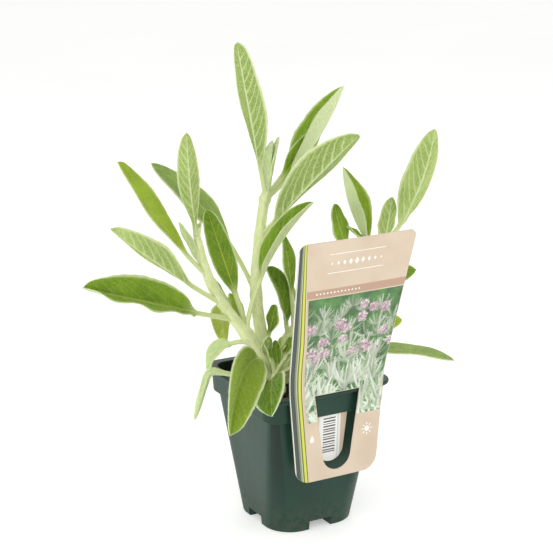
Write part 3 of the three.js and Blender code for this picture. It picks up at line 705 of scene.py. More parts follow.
def stemSurface(shoot):
    form = stemForm
    coarse = np.array(shoot["stem"], float)
    length = np.linalg.norm(np.diff(coarse, axis=0), axis=1).sum()
    count = int(length / form["gap"])
    line, along = curveThrough(shoot["stem"], count)
    side = unit(np.cross(np.array([0.0, 1.0, 0.0])[None, :], along))
    out = np.cross(along, side)
    share = np.linspace(0, 1, count)
    radius = shoot["radius"][0] + (shoot["radius"][1] - shoot["radius"][0]) * share
    for leaf in shoot["leaves"]:
        near = np.exp(-((share - leaf["at"]) * length / form["swellLength"]) ** 2)
        radius = radius * (1 + form["swell"] / 2 * near)
    end = np.clip((share - 1) * length / form["endLength"] + 1, 0, 1)
    radius = radius * np.sqrt(np.clip(1 - end ** 2, 0.004, 1))
    angle = np.linspace(0, 2 * np.pi, form["sides"], endpoint=False)
    reach = radius[:, None] * (1 + form["squareness"] * np.cos(4 * angle))[None, :]
    rings = (line[:, None, :] + side[:, None, :] * (reach * np.cos(angle))[..., None]
             + out[:, None, :] * (reach * np.sin(angle))[..., None])
    none = np.zeros(rings.shape[:2])
    return dict(rings=rings, across=none, phase=none, x=np.broadcast_to(angle * 3, none.shape),
                blade=share, millimetres=share * length, upper=None,
                flow=np.broadcast_to(along[:, None, :], rings.shape),
                deep=0.0, yellow=0.0, pale=0.0, palerUnder=0.0)


def growthTip():  # the small unopened leaves at a stem's end
    leaves = []
    for n in range(4):
        leaves.append(dict(at=0.97, heading=45 + 90 * n + 20 * (n % 2), rise=72, bend=-6, stalk=1.5,
                           blade=9.5 - n, width=4.6, roll=0, fold=30, ripple=0.2, pale=0.9))
    return leaves


crownLeaves = [  # the small ones crowded round the rosette's middle
    dict(at=0.8, heading=150, rise=74, bend=12, stalk=11, blade=15, width=6.4, roll=10, fold=16, deep=0.5),
    dict(at=0.7, heading=62, rise=60, bend=34, stalk=17, blade=17, width=7, roll=0, fold=12, deep=0.6),
    dict(at=0.6, heading=24, rise=64, bend=10, stalk=25, blade=12, width=5.4, roll=0, fold=18, pale=0.3),
    dict(at=0.5, heading=104, rise=80, bend=22, stalk=13, blade=16, width=7, roll=-20, fold=14, deep=0.6),
    dict(at=0.9, heading=342, rise=66, bend=24, stalk=15, blade=13, width=6, roll=10, fold=16, pale=0.2),
]


def rootOf(shoot, at):
    return curveThrough(shoot["stem"], 1001)[0][int(round(at * 1000))]


# deep and palerUnder carry painted shade and painted light as well as the leaves' own tones
leafTints = ("deep", "yellow", "pale", "palerUnder")


def makeShoot(name, shoot):
    sheets = [stemSurface(shoot)]
    tips = growthTip() if name != "rosette" else crownLeaves
    for number, leaf in enumerate(shoot["leaves"] + tips):
        sheets.append(leafSurface(leaf, rootOf(shoot, leaf["at"]), number))
    points, faces, slots, places = [], [], [], []
    values = {key: [] for key in ("across", "along", "veinPhase") + leafTints}
    start = 0
    for sheet in sheets:
        rows, count = sheet["rings"].shape[:2]
        points.append(sheet["rings"].reshape(-1, 3))
        faces += tubeFaces(rows, count, start)
        if sheet["upper"] is None:
            slots += [stemSlot] * ((rows - 1) * count + 2)
        else:
            row = [upperSlot if u else underSlot for u in sheet["upper"]]
            slots += row * (rows - 1) + [stemSlot, underSlot]
        values["across"].append(sheet["across"].ravel())
        values["along"].append(np.repeat(sheet["blade"], count))
        values["veinPhase"].append(sheet["phase"].ravel())
        for key in leafTints:
            values[key].append(np.full(rows * count, sheet[key]))
        places.append(np.stack([sheet["x"].ravel(), np.repeat(sheet["millimetres"], count)], 1) / 10)
        start += rows * count
    piece = makePiece(name + "Leaves", turnedPlant(np.vstack(points)), faces, leafMaterials,
                      slots, replaced=[name])
    for key, numbers in values.items():
        storeValues(piece, key, np.concatenate(numbers))
    storeMap(piece, "leafMap", np.vstack(places))
    return piece, sheets


woolForm = {
    "hairs": {"shootLeft": 40000, "shootCentre": 35000, "shootRight": 32000, "rosette": 12500},
    "faceLength": 0.9, "edgeLength": 1.5, "stemLength": 1.8, "stalkShare": 0.8,
    "density": {"upper": 0.55, "under": 1.0, "edge": 11.0, "stalk": 3.0, "stem": 4.6},
    "thickness": 0.036, "sink": 0.12,
    "lay": 1.0, "lift": 0.55, "spread": 0.55, "leastLift": 0.25,
}


def woolCells(sheet):  # the corners of a sheet's quads, with their direction, weight and hair length
    form = woolForm
    density = form["density"]
    rings = sheet["rings"]
    after = np.roll(rings, -1, axis=1)
    a, b, c, d = rings[:-1], after[:-1], after[1:], rings[1:]
    cross = np.cross(c - a, d - b)
    area = np.linalg.norm(cross, axis=-1) / 2
    if sheet["upper"] is None:
        thick = np.full(area.shape, density["stem"])
        length = np.full(area.shape, form["stemLength"])
    else:
        reach = np.abs(sheet["across"])[:-1]
        stalk = np.broadcast_to((sheet["blade"] < 0.04)[:-1, None], area.shape)
        upper = np.broadcast_to(sheet["upper"][None, :] > 0, area.shape)
        thick = np.where(upper, density["upper"], density["under"])
        thick = np.where(reach > 0.93, density["edge"], thick)
        thick = np.where(stalk, density["stalk"], thick)
        length = np.where(reach > 0.9, form["edgeLength"], form["faceLength"])
        length = np.where(stalk, form["stemLength"] * form["stalkShare"], length)
    values = (a, b, c, d, unit(cross), sheet["flow"][:-1], area * thick, length)
    return [v.reshape(-1, *v.shape[2:]) for v in values]


def makeWool(name, sheets):
    form = woolForm
    wanted = form["hairs"][name]
    cells = zip(*[woolCells(sheet) for sheet in sheets])
    a, b, c, d, normal, flow, weight, length = [np.concatenate(parts) for parts in cells]
    picked = random.choice(len(weight), wanted, p=weight / weight.sum())
    u, v = random.random((2, wanted, 1))
    base = (a[picked] * (1 - u) + b[picked] * u) * (1 - v) + (d[picked] * (1 - u) + c[picked] * u) * v
    out = normal[picked]
    scatter = random.normal(size=(wanted, 3))
    heading = unit(flow[picked] * form["lay"] + out * form["lift"] + scatter * form["spread"])
    lack = form["leastLift"] - (heading * out).sum(1, keepdims=True)
    heading = unit(heading + out * np.clip(lack, 0, 1))
    size = length[picked, None] * random.uniform(0.55, 1.25, (wanted, 1))
    first = unit(np.cross(heading, scatter))
    second = np.cross(heading, first)
    thick = form["thickness"] * random.uniform(0.8, 1.3, (wanted, 1))
    foot = base - out * form["sink"]
    thirds = (0, 2.094, 4.189)  # of a turn
    corners = [foot + thick * (first * math.cos(t) + second * math.sin(t)) for t in thirds]
    points = np.stack(corners + [base + heading * size], 1).reshape(-1, 3)
    sides = np.array([[0, 1, 3], [1, 2, 3], [2, 0, 3], [0, 2, 1]])
    faces = (4 * np.arange(wanted)[:, None, None] + sides[None]).reshape(-1, 3)
    return makePiece(name + "Wool", turnedPlant(points), faces, [woolMaterial], smooth=False)


for shootName, shootTable in shoots.items():
    shootPiece, shootSheets = makeShoot(shootName, shootTable)
    makeWool(shootName, shootSheets)
    print(shootName, "leaves", len(shootPiece.data.polygons))


potForm = {
    "height": 95, "wall": 1.2,
    "base": (29.7, 17.9), "shoulder": (38.6, 9.0), "shoulderHeight": 79.4, "top": (39.9, 9.5),
    "flange": (45, 12), "flangeThickness": 2.5,
    "bandBottom": 41.9, "bandTop": 42.6, "bandCorner": 12, "bandThickness": 1.2,
    "notchWidth": 16, "notchHeight": 6, "notchReach": 16,
    "slotHalfLength": 14.5, "slotOuter": 41.2, "slotInner": 40.0, "slotCentre": 1.3,
    "webThickness": 1.2, "webOffset": 30,
    "drainRadius": 2.6, "drainRing": 9, "sideDrain": (9, 4),
    "cornerSteps": 14, "sideSteps": 8,
    "warp": 0.16,      # uneven cooling leaves the walls a little wavy
    "edgeBevel": 0.3,
}
# inner is a painted shade: the inside of the walls is darkened near to black
potLook = {"plastic": ("0e3426", "143c2d"), "inner": "0b1510", "innerShadeShare": 0.85,
           "dust": "6c6a55", "dustShare": 0.22, "dustHeight": 0.03}


def squareRing(half, corner, z):
    form = potForm
    arcSteps, sideSteps = form["cornerSteps"], form["sideSteps"]

    def cornerPoint(side, angle):
        middle = radians(45 + 90 * side)
        centre = np.array([np.sign(math.cos(middle)), np.sign(math.sin(middle))]) * (half - corner)
        return centre[0] + corner * math.cos(angle), centre[1] + corner * math.sin(angle), z

    ring = []
    for side in range(4):
        arc = [radians(90 * side + 90 * step / arcSteps) for step in range(arcSteps + 1)]
        ring += [cornerPoint(side, angle) for angle in arc]
        start = np.array(ring[-1])
        end = np.array(cornerPoint(side + 1, radians(90 * (side + 1))))
        ring += [tuple(start + (end - start) * step / sideSteps) for step in range(1, sideSteps)]
    return ring


def wallAt(z, inset):  # the pot's half width and corner radius at a height
    form = potForm
    shoulder = form["shoulderHeight"]
    if z <= shoulder:
        start, end, share = form["base"], form["shoulder"], z / shoulder
    else:
        start, end, share = form["shoulder"], form["top"], (z - shoulder) / (form["height"] - shoulder)
    half = start[0] + (end[0] - start[0]) * share - inset
    corner = start[1] + (end[1] - start[1]) * share - inset
    return half, max(corner, 1), z


def roundedProfile(corners, steps=3):  # corners are (half, corner, z, rounding)
    levels = []
    for i, (half, corner, z, rounding) in enumerate(corners):
        here = np.array([half, corner, z])
        if rounding == 0 or i in (0, len(corners) - 1):
            levels.append(here)
            continue
        before, after = np.array(corners[i - 1][:3]), np.array(corners[i + 1][:3])
        a = here + (before - here) * min(rounding / np.hypot(*(before - here)[[0, 2]]), 0.5)
        b = here + (after - here) * min(rounding / np.hypot(*(after - here)[[0, 2]]), 0.5)
        for t in np.linspace(0, 1, steps + 1):
            levels.append(a * (1 - t) ** 2 + here * 2 * t * (1 - t) + b * t ** 2)
    return levels


def squareBody(name, levels, warped):
    rings = [squareRing(*level) for level in levels]
    points = np.array([p for ring in rings for p in ring])
    for p in points:
        p[:2] += np.array(noise.noise_vector(Vector(p * 0.018)))[:2] * warped
    return plainMesh(name, points, tubeFaces(len(rings), len(rings[0])))


def blockBody(name, xs, ys, zs):
    points = [(x, y, z) for x in xs for y in ys for z in zs]
    faces = [(0, 1, 3, 2), (4, 6, 7, 5), (0, 4, 5, 1), (2, 3, 7, 6), (0, 2, 6, 4), (1, 5, 7, 3)]
    return plainMesh(name, points, faces)


def discBody(name, radius, place, zs, sides=24):
    angles = [2 * math.pi * i / sides for i in range(sides)]
    ring = [(place[0] + radius * math.cos(a), place[1] + radius * math.sin(a)) for a in angles]
    points = [(x, y, z) for z in zs for x, y in ring]
    return plainMesh(name, points, tubeFaces(2, sides))


def quarterTurns(makeOne):  # one body for each side of the pot
    bodies = []
    for side in range(4):
        body = makeOne()
        body.rotation_euler[2] = math.pi / 2 * side
        bodies.append(body)
    return bodies


def combine(body, tools, operation):
    bpy.context.view_layer.update()
    for tool in tools:
        modifier = body.modifiers.new("cut", "BOOLEAN")
        modifier.operation = operation
        modifier.solver = "EXACT"
        modifier.object = tool
        applyModifiers(body)
        bpy.data.objects.remove(tool)


def applyModifiers(piece):
    evaluated = piece.evaluated_get(bpy.context.evaluated_depsgraph_get())
    mesh = bpy.data.meshes.new_from_object(evaluated)
    piece.modifiers.clear()
    old = piece.data
    piece.data = mesh
    bpy.data.meshes.remove(old)


def notchBlocks(margin):
    form = potForm
    side = form["notchWidth"] / 2 + margin
    inner = -(form["base"][0] - form["notchReach"]) + margin
    return quarterTurns(lambda: blockBody("notch", (-side, side), (-form["base"][0] - 8, inner),
                                          (-1, form["notchHeight"] + margin)))


def makePotMaterial():
    look = potLook
    material, tree, shader = newMaterial("pottingPlastic", {"Specular IOR Level": 0.35})
    place = objectPlace(tree)
    patches = mottle(tree, 26.0, 260.0)
    base = toneBetween(tree, patches["Patch"], look["plastic"])
    # painted shade on the inside of the walls
    base = layOver(tree, base, attribute(tree, "inner"), look["innerShadeShare"], look["inner"])
    split = addNode(tree, "ShaderNodeSeparateXYZ")
    plug(tree, place, split.inputs[0])
    dust = oneMinus(tree, ramp(tree, split.outputs["Z"], 0.0, look["dustHeight"]))
    dust = times(tree, dust, patches["Grain"])
    base = layOver(tree, base, dust, look["dustShare"], look["dust"])
    scratches = noiseField(tree, place, 900.0, 2.0, 0.6, stretch=(1.0, 1.0, 0.03))
    flow = noiseField(tree, place, 42.0, 3.0, 0.5, stretch=(1.0, 1.0, 0.35))
    rough = calc(tree, "MULTIPLY_ADD", flow, 0.14, 0.3)
    rough = calc(tree, "MULTIPLY_ADD", ramp(tree, scratches, 0.5, 0.75), 0.06, rough)
    rough = calc(tree, "MULTIPLY_ADD", dust, 0.25, rough)
    grain = noiseField(tree, place, 2600.0, 2.0, 0.5)
    normal = bump(tree, grain, 0.1, 0.00006, bump(tree, flow, 0.12, 0.0006))
    plugAll(tree, shader.inputs, {"Base Color": base, "Roughness": rough, "Normal": normal})
    return material


def innerShadeMask(place):  # 1 on the walls' inner faces, which get a painted shade
    form = potForm
    half = wallAt(place.z, form["wall"])[0] + 0.3
    above = place.z > form["notchHeight"] + form["wall"] / 2
    return float(above and max(abs(place.x), abs(place.y)) < half)


def bevelEdges(piece, width, angle):
    bevel = piece.modifiers.new("softEdges", "BEVEL")
    bevel.width = width * mm
    bevel.segments = 2
    bevel.limit_method = "ANGLE"
    bevel.angle_limit = radians(angle)


def smoothUpTo(piece, angle):  # steeper edges stay sharp
    piece.data.polygons.foreach_set("use_smooth", np.full(len(piece.data.polygons), True))
    piece.data.set_sharp_from_angle(angle=radians(angle))


def potOutside(under):  # levels up the outside, round the band and over the flange
    form = potForm
    thick = form["bandThickness"]
    inner = form["bandCorner"] - thick
    shoulder = form["shoulderHeight"]
    return roundedProfile([
        (form["base"][0] - 4, form["base"][1] - 4, 0, 0),
        (*form["base"], 0, 1.1),
        (*form["shoulder"], shoulder, 0),
        (*wallAt(under, 0), 0.4),
        (form["bandTop"] - thick, inner, under, 0.3),
        (form["bandBottom"] - thick, inner, shoulder, 0.4),
        (form["bandBottom"], form["bandCorner"], shoulder, 0.45),
        (form["bandTop"], form["bandCorner"], under, 0.5),
        (*form["flange"], under, 0.7),
        (*form["flange"], form["height"], 0.9),
        (form["top"][0] - form["wall"] + 1, form["top"][1], form["height"], 0),
    ])


def potInside():  # levels of the hollow, from the floor to a rounded lip
    form = potForm
    wall, height = form["wall"], form["height"]
    rimHalf, rimCorner, _ = wallAt(height - 0.7, wall)
    lip = [(0, -0.7), (0.15, -0.3), (0.6, 0.1), (0.6, 1)]  # wider by, above the rim by
    return [wallAt(wall + 0.4, wall + 1.2), wallAt(wall + 1.2, wall), wallAt(form["shoulderHeight"], wall),
            *[(rimHalf + wider, rimCorner + wider, height + above) for wider, above in lip]]


def makePot():
    form = potForm
    under = form["height"] - form["flangeThickness"]
    pot = squareBody("potShell", potOutside(under), form["warp"])
    hollow = squareBody("hollow", potInside(), form["warp"])
    combine(hollow, notchBlocks(form["wall"]), "DIFFERENCE")
    webs = []
    for middle in (form["webOffset"], -form["webOffset"]):  # between the wall and the band
        webSides = (middle - form["webThickness"] / 2, middle + form["webThickness"] / 2)
        webs += quarterTurns(lambda: blockBody("web", webSides,
                                               (-form["bandBottom"] + 0.4, -form["shoulder"][0] + 0.6),
                                               (form["shoulderHeight"] + 1, under + 0.5)))
    combine(pot, webs, "UNION")
    cuts = [hollow] + notchBlocks(0)
    ring = form["drainRing"]
    cuts += quarterTurns(lambda: discBody("drain", form["drainRadius"], (ring, ring), (-2, 6)))
    roof = (form["base"][0] * 2 - form["notchReach"]) / 2
    length, width = form["sideDrain"]
    cuts += quarterTurns(lambda: blockBody("sideDrain", (-length / 2, length / 2),
                                           (-roof - width / 2, -roof + width / 2),
                                           (-1, form["notchHeight"] + 4)))
    middle, reach = form["slotCentre"], form["slotHalfLength"]
    cuts.append(blockBody("slot", (middle - reach, middle + reach), (-form["slotOuter"], -form["slotInner"]),
                          (under - 2, form["height"] + 1)))
    combine(pot, cuts, "DIFFERENCE")
    bevelEdges(pot, form["edgeBevel"], 50)
    applyModifiers(pot)
    # mark the inner faces for their painted shade
    storeValues(pot, "inner", [innerShadeMask(vertex.co / mm) for vertex in pot.data.vertices])
    smoothUpTo(pot, 38)
    weighted = pot.modifiers.new("evenNormals", "WEIGHTED_NORMAL")
    weighted.keep_sharp = True
    pot.data.materials.clear()
    pot.data.materials.append(makePotMaterial())
    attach(pot, "root")
    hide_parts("pot")


makePot()
print("pot made")

soilForm = {
    "edge": 81.5, "crown": 84.5, "inset": 1.6,
    "clearance": 0.6,  # above the notches' roofs
    "rings": 46, "clods": 1.3,
    "crumbs": 620, "crumbSize": (0.5, 1.9),
    "fibres": 110, "fibreLength": (4, 13), "fibreRadius": 0.22,
    "tones": {"compost": ("1a120c", "33251a"), "crumbs": ("21170f", "4a3626"),
              "fibres": ("4b3523", "7d6145")},
}


def makeSoilMaterial(name):
    material, tree, shader = newMaterial(name, {"Roughness": 0.95, "Specular IOR Level": 0.2})
    patches = mottle(tree, 240.0, 1300.0)
    base = toneBetween(tree, patches["Patch"], soilForm["tones"][name])
    base = layOver(tree, base, patches["Grain"], 0.25, "5b4633")
    grit = noiseField(tree, objectPlace(tree), 1500.0, 5.0, 0.75)
    plugAll(tree, shader.inputs, {"Base Color": base, "Normal": bump(tree, grit, 0.9, 0.0006)})
    return material


def soilHeight(x, y, share):  # share is 0 at the wall and 1 in the middle
    form = soilForm
    level = form["edge"] + (form["crown"] - form["edge"]) * math.sin(share * math.pi / 2)
    lumps = noise.fractal(Vector((x * 0.22, y * 0.22, 3.0)), 0.9, 2.1, 4)
    pits = noise.noise(Vector((x * 0.08, y * 0.08, 9.0)))
    return level + form["clods"] * (lumps * 0.75 + pits * 0.7) * min(1, 0.5 + share * 3)


def makeSoil():
    form = soilForm
    gap = form["inset"]
    foot = potForm["notchHeight"] + potForm["wall"] + form["clearance"]
    levels = [wallAt(z, gap + 0.2) for z in (foot, foot + 2, 40, 78)] + [wallAt(form["edge"] - 0.8, gap)]
    rings = [squareRing(*level) for level in levels]
    edgeHalf, edgeCorner, _ = wallAt(form["edge"], gap)
    edgeRing = np.array(squareRing(edgeHalf, edgeCorner, 0))
    for i in range(form["rings"]):
        share = (i / (form["rings"] - 1)) ** 0.9
        scale = 1 - 0.995 * share
        spots = [(p[0] * scale, p[1] * scale) for p in edgeRing]
        rings.append([(x, y, soilHeight(x, y, share)) for x, y in spots])
    points = np.array([p for ring in rings for p in ring])
    return makePiece("compost", points, tubeFaces(len(rings), len(rings[0])),
                     [makeSoilMaterial("compost")], replaced=["soil"])


def roundCrumb(centre, size, seed, rows=5, sides=7):
    points = []
    stretch = 1 + 0.35 * np.array(noise.noise_vector(Vector((seed * 3.1, 1, 2))))
    for i in range(rows):
        lat = math.pi * (i + 0.5) / rows - math.pi / 2
        for j in range(sides):
            lon = 2 * math.pi * (j + 0.5 * (i % 2)) / sides
            way = np.array([math.cos(lat) * math.cos(lon), math.cos(lat) * math.sin(lon), math.sin(lat)])
            rough = 1 + 0.45 * noise.noise(Vector(way * 1.6 + seed))
            points.append(centre + way * stretch * size * rough)
    return points, tubeFaces(rows, sides)


def onSoil():  # a random place on the surface
    half = wallAt(soilForm["edge"], soilForm["inset"])[0] - 1.5
    x, y = random.uniform(-half, half, 2)
    share = 1 - max(abs(x), abs(y)) / half
    return x, y, soilHeight(x, y, share)


def makeCrumbs():
    form = soilForm
    points, faces = [], []
    small, large = form["crumbSize"]
    for i in range(form["crumbs"]):
        x, y, z = onSoil()
        size = small + (large - small) * random.random() ** 3
        crumb, sides = roundCrumb(np.array([x, y, z + size * 0.25]), size, i * 1.37)
        faces += [tuple(k + len(points) for k in f) for f in sides]
        points += crumb
    return makePiece("compostCrumbs", points, faces, [makeSoilMaterial("crumbs")])


def makeFibres():
    form = soilForm
    points, faces = [], []
    sides, steps = 5, 6
    limit = wallAt(form["edge"], form["inset"])[0] - 1
    for _ in range(form["fibres"]):
        x, y, _ = onSoil()
        heading, turn = random.uniform(0, 2 * math.pi), random.uniform(-0.35, 0.35)
        length = random.uniform(*form["fibreLength"])
        radius = form["fibreRadius"] * random.uniform(0.6, 1.7)
        place = np.array([x, y])
        faces += tubeFaces(steps, sides, len(points))
        for k in range(steps):
            way = np.array([math.cos(heading), math.sin(heading)])
            x, y = np.clip(place, -limit, limit)
            height = soilHeight(x, y, 1 - max(abs(x), abs(y)) / limit) + radius * 0.6
            across = np.array([-way[1], way[0]])
            thin = radius * (0.45 + 0.55 * math.sin(math.pi * (k + 0.7) / steps))
            for j in range(sides):
                a = 2 * math.pi * j / sides
                offset = across * math.cos(a) * thin
                points.append((x + offset[0], y + offset[1], height + math.sin(a) * thin))
            place = place + way * length / steps
            heading += turn
    return makePiece("compostFibres", points, faces, [makeSoilMaterial("fibres")])


makeSoil()
makeCrumbs()
makeFibres()
print("compost made")

labelForm = {
    "centre": 1.3, "thickness": 0.8, "front": 46.8, "rim": 95.5,
    "up": 104.8, "down": 55, "lean": 14.2, "leanOver": 20,
    "topHalf": 40.2, "rimHalf": 33, "bottomHalf": 28.3, "topRound": 5, "bottomRound": 9, "bow": 0.5,
    "window": {"topHalf": 15.9, "lowHalf": 8.6, "bottom": -50, "round": 8.6},
    "tongue": {"topHalf": 12.8, "lowHalf": 8.2, "bottom": 48, "round": 8, "behind": 40.6, "slope": 0.05,
               "over": 0.35, "thickShare": 0.7},
    "strip": (68.0, 73.2),  # the darker band under the title
    "edgeBevel": 0.16,
}


def cardPlace(across, up, out):  # out is 0 on the card's back face
    form = labelForm
    steps = 24
    across, up = np.asarray(across, float), np.asarray(up, float)
    y = np.full(np.broadcast(across, up).shape, -(form["front"] - form["thickness"]))
    z = np.full_like(y, form["rim"])
    angle = np.zeros_like(y)
    for i in range(steps):
        length = up / steps
        angle = radians(form["lean"]) * np.clip(length * (i + 0.5) / form["leanOver"], 0, 1)
        y = y - np.sin(angle) * length
        z = z + np.cos(angle) * length
    bow = form["bow"] * across ** 2 / form["rimHalf"] ** 2
    x = form["centre"] + across + np.zeros_like(y)
    return np.stack([x, y + bow - out * np.cos(angle), z - out * np.sin(angle)], -1)


def roundedEnd(half, fromEnd, rounding):
    lack = rounding - np.clip(fromEnd, 0, rounding)
    return half - rounding + np.sqrt(np.clip(rounding ** 2 - lack ** 2, 0, None))


def straightHalf(up):
    form = labelForm
    up = np.asarray(up, float)
    return np.where(up >= 0, form["rimHalf"] + (form["topHalf"] - form["rimHalf"]) * up / form["up"],
                    form["rimHalf"] - (form["bottomHalf"] - form["rimHalf"]) * up / form["down"])


def cardHalf(up):
    form = labelForm
    half = straightHalf(up)
    return np.where(np.asarray(up) >= 0, roundedEnd(half, form["up"] - up, form["topRound"]),
                    roundedEnd(half, up + form["down"], form["bottomRound"]))


def windowHalf(up):
    window = labelForm["window"]
    top, low = window["topHalf"], window["lowHalf"]
    side = top + (low - top) * np.clip(np.asarray(up, float), -99, 0) / window["bottom"]
    return roundedEnd(side, up - window["bottom"], window["round"])


def endLevels(end, rounding, steps):  # heights that crowd round a rounded end
    turns = [1 - math.sin(math.pi / 2 * k / steps) for k in range(steps + 1)]
    return [end - math.copysign(rounding, end) * turn for turn in turns]


printLook = {
    "beige": ("d2bda5", "dac8b2"), "strip": "bc9a84", "back": "efe9dd", "grain": "b9a58c",
    "stripeEnd": (5.6, 9.0), "stripeHeights": (38, 62),
    "stripes": [(0.0, "f4f1ea"), (0.05, "3f4d48"), (0.36, "8a9270"), (0.5, "c3cab0"), (0.56, "6f7424"),
                (0.66, "d2d84e"), (0.84, "6f7424"), (0.92, "dac8b2"), (1.0, "d2bda5")],
    "panel": (-8.6, 6.6), "panelInk": "f3f2ee", "line": (4.4, 5.4), "lineInk": "b9c6c4",
    "bars": (-5.6, 3.0), "barHeights": (53.5, 77.5), "barPitch": 0.85, "barInk": "3c3f42",
    "barBeat": 2.3, "barWidth": (0.2, 0.4),
}


def stripesEnd(up):
    high, low = printLook["stripeEnd"]
    start, over = printLook["stripeHeights"]
    return low + (high - low) * np.clip((up - start) / over, 0, 1)


def printedSheet(name):  # a glossy beige card: its tree, shader, mottle and colour
    material, tree, shader = newMaterial(name, {"Specular IOR Level": 0.45})
    patches = mottle(tree, 30.0, 1600.0)
    sheet = noiseField(tree, objectPlace(tree), 420.0, 2.0)
    plugAll(tree, shader.inputs, {"Roughness": calc(tree, "MULTIPLY_ADD", patches["Patch"], 0.1, 0.28),
                                  "Normal": bump(tree, sheet, 0.08, 0.0001)})
    return material, tree, shader, patches, toneBetween(tree, patches["Patch"], printLook["beige"])


def makeCardMaterial():
    look = printLook
    material, tree, shader, patches, base = printedSheet("printedCard")
    stripe = addNode(tree, "ShaderNodeValToRGB")
    stripe.color_ramp.interpolation = "CONSTANT"
    elements = stripe.color_ramp.elements
    while len(elements) < len(look["stripes"]):
        elements.new(0.5)
    for element, (stop, ink) in zip(elements, look["stripes"]):
        element.position = stop * 0.5
        element.color = colour(ink)
    plug(tree, times(tree, attribute(tree, "stripe"), 0.5), stripe.inputs["Fac"])
    inStripes = calc(tree, "LESS_THAN", attribute(tree, "stripe"), 1.0)
    inStrip = between(tree, attribute(tree, "up"), *labelForm["strip"])
    base = blendColours(tree, inStrip, base, colour(look["strip"]))
    base = blendColours(tree, inStripes, base, stripe.outputs["Color"])
    base = blendColours(tree, attribute(tree, "front"), colour(look["back"]), base)
    plug(tree, layOver(tree, base, patches["Grain"], 0.05, look["grain"]), shader.inputs["Base Color"])
    return material


def usedCorners(keep):  # the corners of the cells that are there
    used = np.zeros((keep.shape[0] + 1, keep.shape[1] + 1), bool)
    for i, j in zip(*np.nonzero(keep)):
        used[i:i + 2, j:j + 2] = True
    return used


def solidSheet(name, front, back, keep, material, values):
    # front and back are rows of places; keep says which cells between them are there
    used = usedCorners(keep)
    total = used.sum()
    index = -np.ones(used.shape, int)
    index[used] = np.arange(total)
    points = np.vstack([front[used], back[used]])
    faces, edges = [], {}
    for i, j in zip(*np.nonzero(keep)):
        loop = [index[i, j], index[i, j + 1], index[i + 1, j + 1], index[i + 1, j]]
        faces.append(tuple(loop))
        faces.append(tuple(k + total for k in reversed(loop)))
        for a, b in zip(loop, loop[1:] + loop[:1]):
            if edges.pop((b, a), None) is None:
                edges[(a, b)] = True
    faces += [(b, a, a + total, b + total) for a, b in edges]
    piece = makePiece(name, points, faces, [material], smooth=False)
    for key, (frontValues, backValues) in values.items():
        storeValues(piece, key, np.concatenate([frontValues[used], backValues[used]]))
    return piece


def cardLevels():  # heights up the card, crowded where its outline or its window turns
    form = labelForm
    window = form["window"]
    ends = [-u for u in endLevels(form["down"], form["bottomRound"], 8)]
    ends += endLevels(form["up"], form["topRound"], 6)
    turns = [1 - math.cos(math.pi / 2 * k / 9) for k in range(10)]
    windowEnd = [window["bottom"] + window["round"] * turn for turn in turns]
    plain = list(np.arange(-41, 0, 1.8)) + [0.0] + list(np.arange(1.5, 99, 1.6)) + list(form["strip"])
    levels = sorted(set(np.round(ends + windowEnd + plain, 3)))
    return np.array([u for i, u in enumerate(levels) if i == 0 or u - levels[i - 1] > 0.02])


def makeCard():
    form = labelForm
    bottom = form["window"]["bottom"]
    ups = cardLevels()
    inner = np.where(ups > bottom, np.maximum(windowHalf(np.maximum(ups, bottom)), 0.15), 0.15)
    outer = np.maximum(cardHalf(ups), 1)
    share = np.linspace(0, 1, 15)[None, :]
    left = -outer[:, None] + (outer - inner)[:, None] * share
    middle = -inner[:, None] + 2 * inner[:, None] * np.linspace(0, 1, 9)[None, 1:-1]
    across = np.concatenate([left, middle, -left[:, ::-1]], 1)
    up = np.broadcast_to(ups[:, None], across.shape)
    keep = np.ones((len(ups) - 1, across.shape[1] - 1), bool)
    hole = (ups[:-1] >= bottom - 0.01) & (ups[1:] <= 0.01)
    keep[np.ix_(hole, np.arange(14, 22))] = False  # the columns between the two sides
    stripe = np.clip((across + straightHalf(up)) / stripesEnd(up), 0, 2)
    ones = np.ones_like(across)
    card = solidSheet("labelCard", cardPlace(across, up, form["thickness"]), cardPlace(across, up, 0),
                      keep, makeCardMaterial(),
                      {"stripe": (stripe, stripe + 2), "up": (up, up), "front": (ones, 0 * ones)})
    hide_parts("label")
    bevelEdges(card, form["edgeBevel"], 60)
    smoothUpTo(card, 40)


makeCard()
print("label card made")


def tonguePath():  # it leaves the card over the flange, crosses it and goes down behind the band
    form = labelForm
    tongue, thick, height = form["tongue"], form["thickness"], potForm["height"]
    behind, low = tongue["behind"], tongue["bottom"] + tongue["round"]
    over = height + tongue["over"]
    crossing = over + thick * 0.5
    face = form["front"] - thick
    path = [(-face - thick * 0.5, crossing), (-face + 1.5, crossing), (-behind - 1.6, crossing),
            (-behind - 1.0, crossing - 0.04), (-behind - 0.45, over + 0.2), (-behind - 0.15, over - 0.2)]
    turns = [1 - math.sin(math.pi / 2 * k / 8) * 0.998 for k in range(1, 9)]
    levels = list(np.linspace(over - 0.8, low, 64)) + [tongue["bottom"] + tongue["round"] * t for t in turns]
    return np.array(path + [(-behind + tongue["slope"] * (height - z), z) for z in levels])


